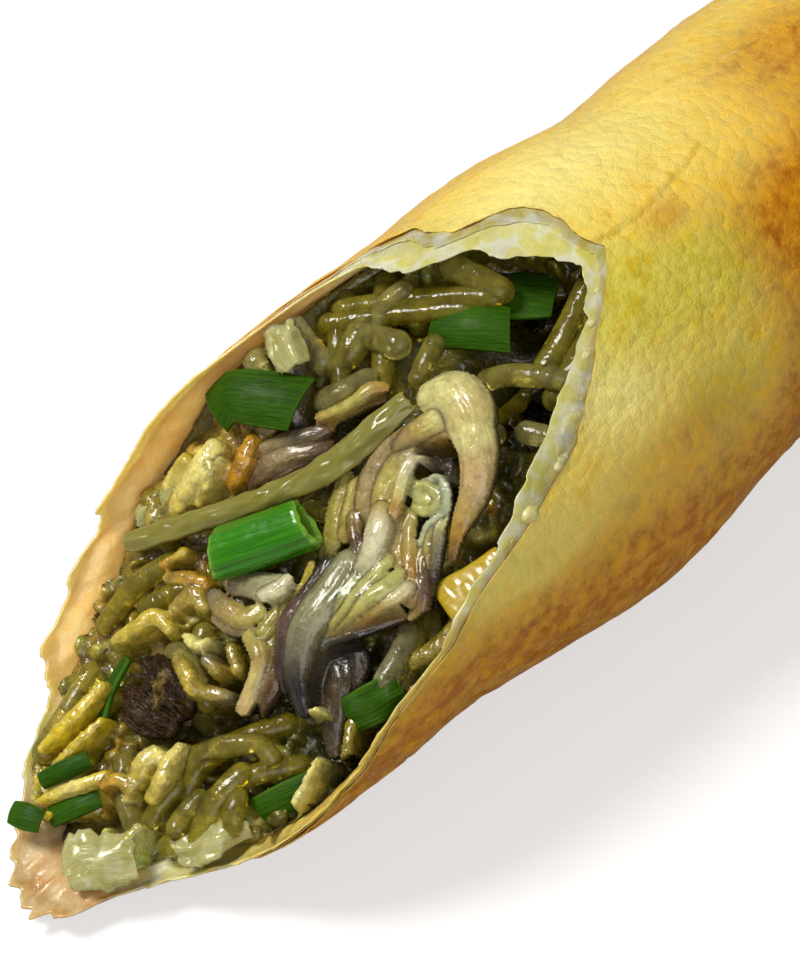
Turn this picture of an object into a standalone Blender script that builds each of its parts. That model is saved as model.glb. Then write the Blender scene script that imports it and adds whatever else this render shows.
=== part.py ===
"""A fried spring roll with one end bitten away, so that its filling shows.

The roll lies along X on the floor at z = 0. The bitten mouth faces -X and up, and the far end
at +X is shut. Sizes are in millimetres and become metres through MM. The seen side is -Y.
"""

import math
import random

import bmesh
import bpy
from mathutils import Vector, noise

MM = 0.001

# Driving dimensions of the roll
ROLL_LENGTH = 112.0
ROLL_RADIUS = 17.2
AXIS_HEIGHT = 16.5
FAR_END = 54.0
CLOSE_FROM = 42.0
WALL = 1.3
OUTER_SHEET = 0.6
FIT_GAP = 0.4
AROUND = 48

# The bitten rim: (angle from the top in degrees, + towards -Y; place along the roll)
RIM = (
    (-180, -58.4), (-166, -55.6), (-152, -51.6), (-136, -47.0), (-122, -43.0), (-104, -35.4),
    (-90, -30.0), (-66, -21.0), (-50, -13.0), (-26, -5.5), (-10, -1.2), (5, -0.6), (17, -1.9),
    (31, -6.1), (42, -11.2), (54, -16.8), (71, -25.9), (89, -35.6), (110, -42.0), (130, -45.6),
    (146, -48.0), (156, -51.4), (165, -57.0), (172, -58.4),
)
RIM_RAGGED = 0.5

# The mouth's plane, in which the filling's pieces are placed by (up the slope, across, lift)
MOUTH_X = -29.5
MOUTH_REACH = 28.9
SLOPE = math.atan2(ROLL_RADIUS, MOUTH_REACH)
UP_SLOPE = Vector((math.cos(SLOPE), 0.0, math.sin(SLOPE)))
ACROSS = Vector((0.0, -1.0, 0.0))
LIFT = Vector((-math.sin(SLOPE), 0.0, math.cos(SLOPE)))

NOODLE_RADIUS = 1.1
CLEARANCE = 0.45


def smooth_step(t):
    t = min(1.0, max(0.0, t))
    return t * t * (3 - 2 * t)


def bump(value, centre, width):
    return math.exp(-(((value - centre) / width) ** 2))


def wrapped(angle):
    """An angle in degrees brought into -180 to 180."""
    return (angle + 180.0) % 360.0 - 180.0


def on_loop(stations, angle):
    """A smooth closed curve through (angle, value) stations, read at an angle."""
    count = len(stations)
    angle = (angle - stations[0][0]) % 360.0 + stations[0][0]
    index = max(i for i in range(count) if stations[i][0] <= angle)
    near = [stations[(index + k) % count] for k in (-1, 0, 1, 2)]
    start = near[1][0]
    end = near[2][0] if near[2][0] > start else near[2][0] + 360.0
    t = (angle - start) / (end - start)
    p0, p1, p2, p3 = (station[1] for station in near)
    return 0.5 * (2 * p1 + (p2 - p0) * t + (2 * p0 - 5 * p1 + 4 * p2 - p3) * t * t
                  + (3 * p1 - p0 - 3 * p2 + p3) * t ** 3)


def outer_rim(angle):
    """Where the outer sheet is torn, along the roll."""
    turn = math.radians(angle)
    ragged = noise.noise(Vector((math.cos(turn) * 4.0, math.sin(turn) * 4.0, 7.3)))
    return on_loop(RIM, angle) + RIM_RAGGED * ragged


def overhang(angle):
    """How far the inner sheet stands out past the outer one."""
    a = wrapped(angle)
    return 0.7 + 3.0 * bump(a, -32, 26) + 2.4 * bump(a, 46, 15) + 1.2 * bump(a, 178, 20)


def inner_rim(angle):
    return outer_rim(angle) - overhang(angle)


def skin_radius(x, angle):
    """The outer radius: pinched towards the bite, lumpy where the filling pushes, with a flap's edge."""
    a = wrapped(angle)
    near_side = bump(a, 122, 48)
    far_side = bump(a, -60, 48)
    radius = ROLL_RADIUS
    radius -= 3.0 * (max(0.0, -32.0 - x) / 24.0) ** 1.5 * (0.4 + 0.6 * near_side)
    radius += near_side * (1.2 * bump(x, -6, 9) - 1.5 * bump(x, 14, 7) + 0.7 * bump(x, 28, 8)
                           - 0.7 * bump(x, -28, 10))
    radius += far_side * (0.7 + 0.6 * bump(x, 0, 8) - 0.5 * bump(x, 13, 6) + 0.5 * bump(x, 31, 8))
    turn = math.radians(angle)
    spot = Vector((x * 0.09, math.cos(turn) * 1.5, math.sin(turn) * 1.5))
    radius += 0.35 * noise.noise(spot)
    return radius + flap_step(x, a)


def flap_step(x, angle):
    """The sheet's last edge runs aslant along the top: a step that fades over a fifth of a turn."""
    edge = -38.0 + 0.9 * x
    behind = (angle - edge) % 360.0
    return 0.45 * max(0.0, 1.0 - behind / 80.0) * smooth_step((x + 6.0) / 8.0)


def place(x, angle, radius, floor=None):
    """A point of the roll from its place along it, its angle from the top and its radius."""
    turn = math.radians(angle)
    z = AXIS_HEIGHT + radius * math.cos(turn)
    return Vector((x, -radius * math.sin(turn), z if floor is None else max(floor, z)))


def end_scale(x):
    """How the radius shrinks over the shut end, a rounded box's quarter."""
    t = min(1.0, max(0.0, (x - CLOSE_FROM) / (FAR_END - CLOSE_FROM)))
    return (1.0 - t ** 2.6) ** (1 / 2.6)


def tuck(x, angle):
    """Folded-in corners of the sheet at the shut end: three soft creases."""
    depth = smooth_step((x - CLOSE_FROM) / 6.0)
    turn = math.radians(angle)
    return 1.0 - 0.07 * depth * abs(math.sin(1.5 * turn + 0.4)) ** 3


ALONG = [0.0, 0.02, 0.05, 0.09, 0.14, 0.2, 0.27, 0.34, 0.41, 0.48, 0.55, 0.62, 0.69, 0.76, 0.83,
         0.89, 0.95, 1.0]
INNER_ALONG = [0.0, 0.05, 0.14, 0.27, 0.41, 0.55, 0.69, 0.83, 1.0]
END_STEPS = (0.35, 0.62, 0.82, 0.94)


def ring(x_of, radius_of, floor):
    angles = [360.0 * k / AROUND for k in range(AROUND)]
    return [place(x_of(a), a, radius_of(x_of(a), a), floor) for a in angles]


def loft(name, rings, first_pole, last_pole):
    """A closed skin through rings of points, with a single point at each end."""
    bm = bmesh.new()
    rows = [[bm.verts.new(p * MM) for p in points] for points in rings]
    first, last = bm.verts.new(first_pole * MM), bm.verts.new(last_pole * MM)
    for k in range(AROUND):
        n = (k + 1) % AROUND
        bm.faces.new((first, rows[0][n], rows[0][k]))
        for a, b in zip(rows, rows[1:]):
            bm.faces.new((a[k], a[n], b[n], b[k]))
        bm.faces.new((last, rows[-1][k], rows[-1][n]))
    bmesh.ops.recalc_face_normals(bm, faces=bm.faces)
    return mesh_object(name, bm)


def mesh_object(name, bm):
    mesh = bpy.data.meshes.new(name)
    bm.to_mesh(mesh)
    bm.free()
    mesh.shade_smooth()
    obj = bpy.data.objects.new(name, mesh)
    roll.objects.link(obj)
    return obj


def material(name, colour, roughness):
    made = bpy.data.materials.new(name)
    made.use_nodes = True
    shader = made.node_tree.nodes["Principled BSDF"]
    shader.inputs["Base Color"].default_value = (*colour, 1.0)
    shader.inputs["Roughness"].default_value = roughness
    shader.inputs["Metallic"].default_value = 0.0
    return made


def wrapper():
    """The fried sheet: a tube shut at +X, torn in two steps at the mouth, outer sheet first."""

    def outer(t):
        return ring(lambda a: outer_rim(a) + t * (CLOSE_FROM - outer_rim(a)), skin_radius, 0.0)

    def inside_radius(x, a):
        return skin_radius(x, a) - WALL

    def inside(t):
        return ring(lambda a: inner_rim(a) + t * (CLOSE_FROM - inner_rim(a)), inside_radius, 0.8)

    def shut(t, less, floor):
        x = CLOSE_FROM + t * (FAR_END - CLOSE_FROM) - less * t
        return ring(lambda a: x, lambda _, a: (skin_radius(x, a) - less) * end_scale(x + less * t)
                    * tuck(x, a), floor)

    rings = [shut(t, 0.0, 0.0) for t in reversed(END_STEPS)]
    rings += [outer(t) for t in reversed(ALONG)]
    rings.append(ring(outer_rim, lambda x, a: skin_radius(x, a) - OUTER_SHEET, 0.25))
    middle = ring(lambda a: inner_rim(a) + 0.1, lambda x, a: skin_radius(x, a) - OUTER_SHEET, 0.3)
    rings.append(middle)
    rings += [inside(t) for t in INNER_ALONG]
    rings += [shut(t, WALL, 0.8) for t in END_STEPS]
    dimple = 1.2
    far = Vector((FAR_END - dimple, 0, AXIS_HEIGHT))
    return loft("wrapper", rings, far, far - Vector((WALL, 0, 0)))


def mouth_point(up, across, lift):
    """A point over the mouth's plane, from its three lengths there."""
    return Vector((MOUTH_X, 0, AXIS_HEIGHT)) + UP_SLOPE * up + ACROSS * across + LIFT * lift


def inside_roll(point, margin):
    """The point, drawn in towards the axis where it would come too near the wrapper's wall."""
    angle = math.degrees(math.atan2(-point.y, point.z - AXIS_HEIGHT))
    if point.x < inner_rim(angle) - CLEARANCE - margin:
        return point
    reach = math.hypot(point.y, point.z - AXIS_HEIGHT)
    limit = skin_radius(point.x, angle) - WALL - CLEARANCE - margin
    share = min(1.0, limit / max(reach, 0.001))
    z = AXIS_HEIGHT + (point.z - AXIS_HEIGHT) * share
    return Vector((point.x, point.y * share, max(z, 0.8 + CLEARANCE + margin)))


# Dips and mounds in the filling's face: (up, across, rise, how wide)
LUMPS = ((21.5, 4.0, -6.5, 3.4), (27.5, -1.0, -4.5, 4.0), (-9.0, 12.0, -3.5, 3.0),
         (-11.0, 2.0, -2.5, 3.0), (-14.0, -7.0, -1.8, 3.0), (14.0, -12.4, 3.6, 3.0),
         (8.4, -11.4, 2.8, 3.6), (0.6, -2.6, 1.8, 3.4), (6.0, -6.5, 2.0, 3.0),
         (-3.5, -12.0, 1.4, 3.0), (-27.0, 2.6, 1.6, 2.6), (-25.5, -4.5, 1.0, 2.6))


def face_height(up, across):
    """The bare filling's height over the mouth's plane: soft lumps and a few dips."""
    height = -0.6 + 1.6 * noise.noise(Vector((up * 0.23, across * 0.23, 1.7)))
    height += 0.7 * noise.noise(Vector((up * 0.5, across * 0.5, 4.1)))
    for lump_up, lump_across, rise, width in LUMPS:
        height += rise * bump(math.hypot(up - lump_up, across - lump_across), 0, width)
    return height


def filling_edge(angle):
    """How far in the filling begins, as a share of the way in: deeper along the far wall."""
    return 0.05 + 0.04 * bump(wrapped(angle), -122, 34)


FACE_STEPS = (0.96, 0.88, 0.78, 0.67, 0.56, 0.45, 0.34, 0.22, 0.11)


def core():
    """The bare filling: it fills the wrapper from the shut end to a lumpy slanting face."""

    def radius(x, a):
        return skin_radius(x, a) - WALL - FIT_GAP

    def along(t):
        def x_of(a):
            return inner_rim(a) + max(t, filling_edge(a)) * (CLOSE_FROM - inner_rim(a))
        return ring(x_of, radius, 0.8 + FIT_GAP)

    def face(share):
        points = []
        for edge in along(0.0):
            flat = (edge - Vector((0, 0, AXIS_HEIGHT))) * share
            plane_x = MOUTH_X + flat.z * MOUTH_REACH / ROLL_RADIUS
            edge_plane = MOUTH_X + (edge.z - AXIS_HEIGHT) * MOUTH_REACH / ROLL_RADIUS
            x = plane_x + share ** 2 * (edge.x - edge_plane)
            point = Vector((x, flat.y, AXIS_HEIGHT + flat.z))
            up = (point - mouth_point(0, 0, 0)).dot(UP_SLOPE)
            rise = face_height(up, -point.y) * (1 - share ** 12)
            points.append(inside_roll(point + LIFT * rise, 0.0))
        return points

    rings = [face(share) for share in reversed(FACE_STEPS)]
    rings += [along(t) for t in (0.0, 0.14, *INNER_ALONG[3:])]
    for t in END_STEPS:
        x = CLOSE_FROM + t * (FAR_END - CLOSE_FROM - 2 * WALL)
        scale = end_scale(CLOSE_FROM + t * (FAR_END - CLOSE_FROM))
        rings.append(ring(lambda a: x, lambda _, a: radius(x, a) * scale * tuck(x, a) - 0.2,
                          0.8 + FIT_GAP))
    tip = Vector((FAR_END - 3.4 * WALL, 0, AXIS_HEIGHT))
    return loft("filling", rings, mouth_point(0, 0, face_height(0, 0)), tip)


def smooth_path(points, per_span):
    """Points of a Catmull-Rom curve through tuples of any length."""
    path = []
    ends = [points[0], *points, points[-1]]
    for p0, p1, p2, p3 in zip(ends, ends[1:], ends[2:], ends[3:]):
        for k in range(per_span):
            t = k / per_span
            path.append(tuple(
                0.5 * (2 * b + (c - a) * t + (2 * a - 5 * b + 4 * c - d) * t * t
                       + (3 * b - a - 3 * c + d) * t ** 3)
                for a, b, c, d in zip(p0, p1, p2, p3)))
    path.append(tuple(points[-1]))
    return path


def strand(name, stations, sides_step=1, per_span=2):
    """A rounded strand through (up, across, lift, radius) stations, as a closed mesh."""
    path = smooth_path(stations, per_span)
    spots = [(inside_roll(mouth_point(*p[:3]), p[3]), p[3]) for p in path]
    first = (spots[0][0] - spots[1][0]).normalized()
    last = (spots[-1][0] - spots[-2][0]).normalized()
    spots = ([(spots[0][0] + first * spots[0][1] * 0.6, spots[0][1] * 0.55)] + spots
             + [(spots[-1][0] + last * spots[-1][1] * 0.6, spots[-1][1] * 0.55)])
    curve = bpy.data.curves.new(name, "CURVE")
    curve.dimensions = "3D"
    curve.bevel_depth = MM
    curve.bevel_resolution = sides_step
    curve.use_fill_caps = True
    spline = curve.splines.new("POLY")
    spline.points.add(len(spots) - 1)
    for point, (spot, radius) in zip(spline.points, spots):
        point.co = (*(spot * MM), 1.0)
        point.radius = radius
    holder = bpy.data.objects.new(name + "_curve", curve)
    roll.objects.link(holder)
    graph = bpy.context.evaluated_depsgraph_get()
    mesh = bpy.data.meshes.new_from_object(holder.evaluated_get(graph))
    bm = bmesh.new()
    bm.from_mesh(mesh)
    bmesh.ops.remove_doubles(bm, verts=bm.verts, dist=0.01 * MM)
    bmesh.ops.recalc_face_normals(bm, faces=bm.faces)
    bpy.data.objects.remove(holder)
    bpy.data.curves.remove(curve)
    bpy.data.meshes.remove(mesh)
    return mesh_object(name, bm)


def finish_modifiers(obj):
    """Puts what the modifiers make in place of the mesh."""
    graph = bpy.context.evaluated_depsgraph_get()
    mesh = bpy.data.meshes.new_from_object(obj.evaluated_get(graph))
    obj.modifiers.clear()
    obj.data = mesh
    return obj


def melt(name, strands, voxel, ratio):
    """Strands melted into one soft body: a voxel skin over them all, smoothed and thinned out."""
    bm = bmesh.new()
    for piece in strands:
        bm.from_mesh(piece.data)
        bpy.data.objects.remove(piece)
    obj = mesh_object(name, bm)
    remesh = obj.modifiers.new("skin", "REMESH")
    remesh.mode = "VOXEL"
    remesh.voxel_size = voxel * MM
    relax = obj.modifiers.new("relax", "SMOOTH")
    relax.iterations = 3
    thin = obj.modifiers.new("thin", "DECIMATE")
    thin.ratio = ratio
    finish_modifiers(obj)
    return keep_largest(obj)


def mend(obj):
    """Makes triangles of a cut mesh, and closes again the few spots where slivers left it open."""
    bm = bmesh.new()
    bm.from_mesh(obj.data)
    bmesh.ops.triangulate(bm, faces=bm.faces)
    for _ in range(4):
        bad = [edge for edge in bm.edges if len(edge.link_faces) != 2]
        if not bad:
            break
        around = {vert for edge in bad for vert in edge.verts}
        bmesh.ops.delete(bm, geom=list({face for vert in around for face in vert.link_faces}),
                         context="FACES")
        bmesh.ops.delete(bm, geom=[v for v in bm.verts if not v.link_faces], context="VERTS")
        made = bmesh.ops.holes_fill(bm, edges=[e for e in bm.edges if e.is_boundary], sides=0)
        bmesh.ops.triangulate(bm, faces=made["faces"])
    bmesh.ops.recalc_face_normals(bm, faces=bm.faces)
    bm.to_mesh(obj.data)
    bm.free()


def keep_largest(obj):
    """Drops loose scraps, so that the piece is one body."""
    bm = bmesh.new()
    bm.from_mesh(obj.data)
    bm.verts.ensure_lookup_table()
    seen, bodies = set(), []
    for start in bm.verts:
        if start in seen:
            continue
        body, edge = {start}, [start]
        while edge:
            for link in edge.pop().link_edges:
                for vert in link.verts:
                    if vert not in body:
                        body.add(vert)
                        edge.append(vert)
        seen |= body
        bodies.append(body)
    bodies.sort(key=len)
    for body in bodies[:-1]:
        bmesh.ops.delete(bm, geom=list(body), context="VERTS")
    bm.to_mesh(obj.data)
    bm.free()
    return obj


# The large oyster: its lobes and folds, each as (up, across, lift, radius) stations
OYSTER_LOBES = {
    "hook": ((14.2, -1.6, 2.3, 2.0), (17.0, 0.0, 3.2, 2.6), (18.6, 2.4, 3.6, 3.0),
             (17.9, 5.4, 3.3, 2.6), (15.4, 7.8, 2.8, 2.1), (12.3, 9.0, 2.4, 1.8),
             (9.6, 9.7, 1.8, 1.3), (7.6, 10.1, 1.3, 0.8)),
    "belly": ((15.0, 0.4, 2.2, 2.4), (11.8, 1.0, 1.9, 2.9), (8.6, 1.8, 1.8, 2.7), (6.0, 3.4, 1.8, 2.2)),
    "fold": ((14.4, 2.8, 2.4, 1.3), (11.2, 3.2, 2.6, 1.6), (8.2, 4.4, 2.4, 1.5), (6.0, 5.6, 2.0, 1.3)),
    "gill": ((12.2, 5.4, 1.2, 0.9), (9.8, 6.2, 1.3, 1.2), (6.8, 7.2, 1.2, 1.2), (3.6, 8.6, 1.0, 1.2)),
    "gill_edge": ((12.6, 6.8, 1.0, 0.8), (9.0, 8.0, 1.1, 1.0), (5.8, 9.2, 0.9, 1.1), (2.6, 10.2, 0.6, 0.9)),
    "grey_lobe": ((6.6, 4.6, 2.3, 1.8), (3.6, 4.8, 2.4, 2.2), (0.4, 4.2, 2.2, 2.2),
                  (-2.4, 4.2, 1.8, 2.3), (-5.0, 5.4, 1.2, 2.1), (-7.2, 7.6, 0.2, 1.5)),
    "frill": ((5.0, 9.2, 1.3, 1.3), (2.8, 8.4, 1.5, 1.6), (0.4, 7.4, 1.4, 1.4), (-2.0, 6.8, 1.0, 1.1)),
    "frill_edge": ((2.0, 10.2, 0.7, 0.8), (-0.8, 9.4, 0.8, 0.9), (-3.0, 7.8, 0.6, 0.9)),
    "veil": ((-2.6, 7.2, -0.4, 1.6), (-5.2, 8.8, -0.9, 1.7), (-7.8, 10.4, -1.6, 1.1)),
}
SMALL_OYSTER_LOBES = {
    "lobe": ((-6.2, -4.6, -0.6, 1.7), (-4.0, -3.0, -0.2, 2.1), (-1.9, -1.0, -0.1, 1.9)),
    "mantle": ((-2.6, 0.2, -0.6, 1.5), (-5.4, 1.2, -0.8, 1.5), (-8.2, 2.4, -1.0, 1.6),
               (-10.4, 3.4, -1.6, 1.1)),
}
MANTLE_STRIP_LOBES = {
    "strip": ((2.4, -9.6, -0.9, 1.2), (5.6, -8.2, -0.7, 1.6), (8.8, -6.4, -0.9, 1.5), (11.2, -4.2, -1.3, 1.0)),
}
MUSHROOM_LOBES = {
    "cap": ((-13.6, -4.6, 0.4, 1.7), (-14.6, -2.6, 0.8, 2.5), (-14.6, -0.4, 0.5, 1.9)),
    "rib": ((-16.8, -1.8, 0.4, 1.3), (-14.8, -2.0, 1.0, 2.0), (-12.6, -2.2, 0.6, 1.3)),
}


def soft_piece(name, lobes, voxel, ratio):
    return melt(name, [strand(f"{name}_{k}", s, 2, 3) for k, s in lobes.items()], voxel, ratio)


def ribbon(name, stations, thickness, across_count=3, curl=0.0, ripple=0.0):
    """A thin leaf or ribbon: (up, across, lift, half width, twist) stations along its middle."""
    path = smooth_path(stations, 3)
    middles = [mouth_point(*p[:3]) for p in path]
    bm = bmesh.new()
    rows = []
    for k, (middle, station) in enumerate(zip(middles, path)):
        ahead = (middles[min(k + 1, len(path) - 1)] - middles[max(k - 1, 0)]).normalized()
        side = LIFT.cross(ahead).normalized()
        face = ahead.cross(side)
        twist = math.radians(station[4])
        side, face = (side * math.cos(twist) + face * math.sin(twist),
                      face * math.cos(twist) - side * math.sin(twist))
        row = []
        for j in range(across_count):
            share = 2 * j / (across_count - 1) - 1
            rise = curl * (1 - share ** 2) + ripple * math.sin(1.9 * k + 2.2 * share)
            row.append(middle + side * share * station[3] + face * rise)
        shifts = [inside_roll(spot, thickness / 2 + 0.2) - spot for spot in row]
        shift = max(shifts, key=lambda move: move.length)
        row = [spot + shift for spot in row]
        rows.append(([p + face * thickness / 2 for p in row], [p - face * thickness / 2 for p in row]))
    tops = [[bm.verts.new(p * MM) for p in top] for top, _ in rows]
    unders = [[bm.verts.new(p * MM) for p in under] for _, under in rows]
    for (a, b), (c, d) in zip(zip(tops, tops[1:]), zip(unders, unders[1:])):
        for j in range(across_count - 1):
            bm.faces.new((a[j], a[j + 1], b[j + 1]))
            bm.faces.new((a[j], b[j + 1], b[j]))
            bm.faces.new((c[j], d[j + 1], c[j + 1]))
            bm.faces.new((c[j], d[j], d[j + 1]))
        for j in (0, across_count - 1):
            bm.faces.new((a[j], b[j], d[j], c[j]))
    for a, c in ((tops[0], unders[0]), (tops[-1], unders[-1])):
        for j in range(across_count - 1):
            bm.faces.new((a[j], a[j + 1], c[j + 1], c[j]))
    bmesh.ops.recalc_face_normals(bm, faces=bm.faces)
    return mesh_object(name, bm)


# Cut spring onion: (name, stations of (up, across, lift, half width, twist), curl)
ONION_LEAVES = (
    ("onion_leaf_rim", ((6.6, -15.0, 2.6, 1.5, 10), (8.4, -11.4, 3.2, 2.1, 4), (10.4, -7.6, 2.6, 2.2, -4)), 0.7),
    ("onion_leaf_front", ((22.2, -3.9, -1.0, 1.7, 0), (23.6, -1.5, -0.7, 1.8, 0), (25.0, 0.9, -1.0, 1.7, 0)), 0.5),
    ("onion_leaf_deep", ((26.4, -3.0, -3.4, 1.8, -20), (28.0, -1.0, -3.6, 2.2, -20), (29.2, 1.0, -4.0, 1.8, -20)), 0.4),
    ("onion_leaf_low", ((-5.8, 11.2, 0.2, 1.4, 20), (-3.8, 12.4, 0.6, 1.6, 20), (-1.6, 13.2, 0.2, 1.4, 20)), 0.4),
    ("onion_leaf_wall", ((-16.2, 9.2, -1.2, 1.0, 25), (-13.4, 10.9, -1.0, 1.2, 25), (-10.8, 12.2, -1.0, 1.0, 25)), 0.3),
    ("onion_bit_tip_a", ((-25.2, -6.0, 0.8, 0.7, 20), (-23.4, -5.0, 1.0, 0.8, 20), (-21.6, -4.0, 0.8, 0.7, 20)), 0.2),
    ("onion_bit_tip_b", ((-26.8, -3.3, 0.9, 0.8, 0), (-25.0, -2.2, 1.2, 0.9, 0), (-23.2, -1.2, 0.9, 0.8, 0)), 0.3),
    ("onion_bit_edge", ((-28.3, -5.5, 2.4, 0.9, 0), (-27.9, -4.3, 2.6, 1.1, 0), (-27.5, -3.1, 2.4, 0.9, 0)), 0.2),
    ("onion_strip_dark", ((-13.6, -7.4, -0.4, 0.7, 40), (-16.8, -6.9, -0.6, 0.9, 40), (-19.8, -5.2, -0.6, 0.7, 40)), 0.2),
)
LEAF_THICKNESS = 0.6

# Pale cabbage: the same stations, thicker
CABBAGE = (
    ("cabbage_tip", ((-29.4, 1.6, 1.6, 1.8, 0), (-27.2, 2.6, 1.9, 2.4, 8), (-24.8, 4.8, 1.5, 1.6, 12)), 0.5),
    ("cabbage_low", ((-22.4, 7.6, -0.4, 1.1, -8), (-20.2, 8.6, -0.2, 1.4, 0), (-17.4, 9.8, -0.8, 1.1, 8)), 0.4),
    ("cabbage_rim", ((14.9, -14.4, 3.8, 1.0, 0), (13.9, -12.4, 4.2, 1.4, 0), (13.0, -10.2, 3.8, 1.2, 0)), 0.4),
    ("cabbage_side", ((-4.8, -14.6, -1.6, 1.2, 12), (-1.4, -12.9, -1.0, 1.7, 0), (1.6, -11.9, -0.8, 1.2, 0)), 0.6),
)
CABBAGE_THICKNESS = 1.0

NOODLE_RIBBON = ((11.6, -3.6, 3.4, 0.9, -14), (8.6, -4.4, 3.2, 1.1, -8), (5.0, -6.0, 3.0, 1.2, 0),
                 (1.2, -8.6, 2.6, 1.3, 6), (-2.6, -11.4, 1.8, 1.5, 10), (-6.0, -13.4, 1.0, 1.4, 14))

ONION_TUBE = ((-2.5, -5.0, 2.9), (3.7, -0.3, 3.4))
ONION_TUBE_RADIUS = 1.85
ONION_TUBE_WALL = 0.55


def onion_tube():
    """The bright cut tube of spring onion: hollow, a little flattened, lying on the filling."""
    start, end = (mouth_point(*p) for p in ONION_TUBE)
    axis = end - start
    bpy.ops.mesh.primitive_cylinder_add(vertices=14, radius=ONION_TUBE_RADIUS * MM, depth=axis.length * MM,
                                        end_fill_type="NOTHING", location=(start + end) / 2 * MM)
    obj = bpy.context.object
    obj.name = "onion_tube"
    obj.rotation_euler = axis.to_track_quat("Z", "Y").to_euler()
    for holder in obj.users_collection:
        holder.objects.unlink(obj)
    roll.objects.link(obj)
    shell = obj.modifiers.new("wall", "SOLIDIFY")
    shell.thickness = ONION_TUBE_WALL * MM
    shell.offset = -1.0
    return obj


BAMBOO = ((10.8, 12.8, 1.0), (1.8, 11.9, 0.3))
BAMBOO_WIDE, BAMBOO_THICK = 2.6, 1.8


def bamboo_strip():
    """A yellow strip of bamboo shoot, cut square, with its edges rounded."""
    start, end = (mouth_point(*p) for p in BAMBOO)
    axis = end - start
    bpy.ops.mesh.primitive_cube_add(size=1.0, location=(start + end) / 2 * MM)
    obj = bpy.context.object
    obj.name = "bamboo_strip"
    obj.scale = (BAMBOO_THICK * MM, BAMBOO_WIDE * MM, axis.length * MM)
    bpy.ops.object.transform_apply(location=False, rotation=False, scale=True)
    obj.rotation_euler = axis.to_track_quat("Z", "Y").to_euler()
    for holder in obj.users_collection:
        holder.objects.unlink(obj)
    roll.objects.link(obj)
    edges = obj.modifiers.new("edges", "BEVEL")
    edges.width = 0.45 * MM
    edges.segments = 2
    return obj


# Glass noodles that show, as (up, across, lift) stations
NOODLES = (
    ((29.8, -6.5, -1.0), (27.4, -8.2, -0.4), (24.8, -9.8, 0.0)),
    ((22.4, -10.6, -0.8), (19.8, -8.4, 0.2), (17.4, -6.0, 0.2), (15.6, -4.6, -0.2)),
    ((19.4, -12.0, 0.0), (16.6, -10.2, 0.6), (13.6, -7.0, 0.6), (12.4, -5.6, 0.2)),
    ((24.4, -6.4, -1.2), (21.6, -6.6, -0.6), (19.2, -3.4, -0.6)),
    ((28.4, 2.2, -3.0), (25.6, 3.4, -2.2), (23.4, 5.4, -2.4)),
    ((29.6, 4.4, -2.8), (26.6, 5.4, -2.4), (24.6, 6.8, -2.4)),
    ((24.4, 4.0, -2.6), (22.2, 2.8, -2.0), (20.6, 3.0, -2.4)),
    ((20.6, 7.4, -1.6), (18.8, 8.8, -0.8), (16.2, 11.2, -1.0)),
    ((17.0, 10.4, -1.4), (13.6, 12.4, -1.0), (10.8, 14.4, -1.8)),
    ((13.4, -10.8, 0.2), (10.4, -11.2, -0.6), (6.8, -11.4, -1.0)),
    ((3.4, 10.4, -0.6), (0.4, 11.6, 0.2), (-2.2, 12.0, 0.6)),
    ((-2.8, -3.8, -2.0), (-6.0, -6.8, -0.8), (-9.6, -8.8, -0.6)),
    ((-8.2, -3.4, -0.4), (-10.6, -2.0, 0.2), (-12.2, 0.6, 0.2)),
    ((-5.4, -9.6, -0.8), (-9.0, -11.0, -0.8), (-13.0, -11.4, -1.6)),
    ((-9.4, 6.8, -1.4), (-12.6, 5.0, -0.4), (-16.2, 3.6, -0.2), (-18.6, 4.0, -0.6)),
    ((-11.2, 9.8, -1.6), (-14.2, 7.6, -0.6), (-17.4, 6.4, -0.4), (-20.2, 6.8, -1.0)),
    ((-13.4, 4.4, -1.0), (-17.6, 1.8, -0.2), (-21.0, 1.0, -0.4), (-23.2, 2.4, -0.8)),
    ((-16.8, 9.2, -1.4), (-20.0, 8.0, -0.8), (-22.6, 5.6, -0.8)),
    ((-20.0, -1.8, 0.0), (-22.0, 0.4, 0.2), (-23.6, 3.4, 0.0)),
    ((-16.4, -9.6, -1.2), (-20.2, -8.6, -0.6), (-24.0, -8.4, -0.8)),
    ((18.4, -11.4, 0.4), (22.6, -6.6, 0.6), (26.4, -2.2, -0.2)),
    ((29.2, -7.4, -0.8), (26.8, -5.4, 0.3), (25.4, -3.4, -0.6)),
    ((8.2, -10.6, -0.8), (11.0, -8.8, 0.4), (12.8, -7.2, 0.4)),
    ((26.8, 9.2, -2.4), (24.0, 7.0, -1.0), (21.8, 6.6, -1.6)),
    ((15.4, 13.0, -1.6), (11.6, 13.6, -1.2), (8.0, 14.2, -1.8)),
    ((-0.6, -10.2, -0.6), (-4.8, -8.8, 0.2), (-8.0, -6.2, 0.0)),
    ((-9.6, 1.6, -0.6), (-12.2, 3.4, 0.4), (-14.6, 6.2, -0.2)),
    ((-14.4, 9.8, -0.8), (-18.2, 4.6, 0.2), (-20.4, 2.2, 0.2)),
)
CRUMB_SEED = 11
CRUMBS = 26
FILLING_KEPT = 0.65  # the share of the fused filling's triangles that stay


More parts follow.
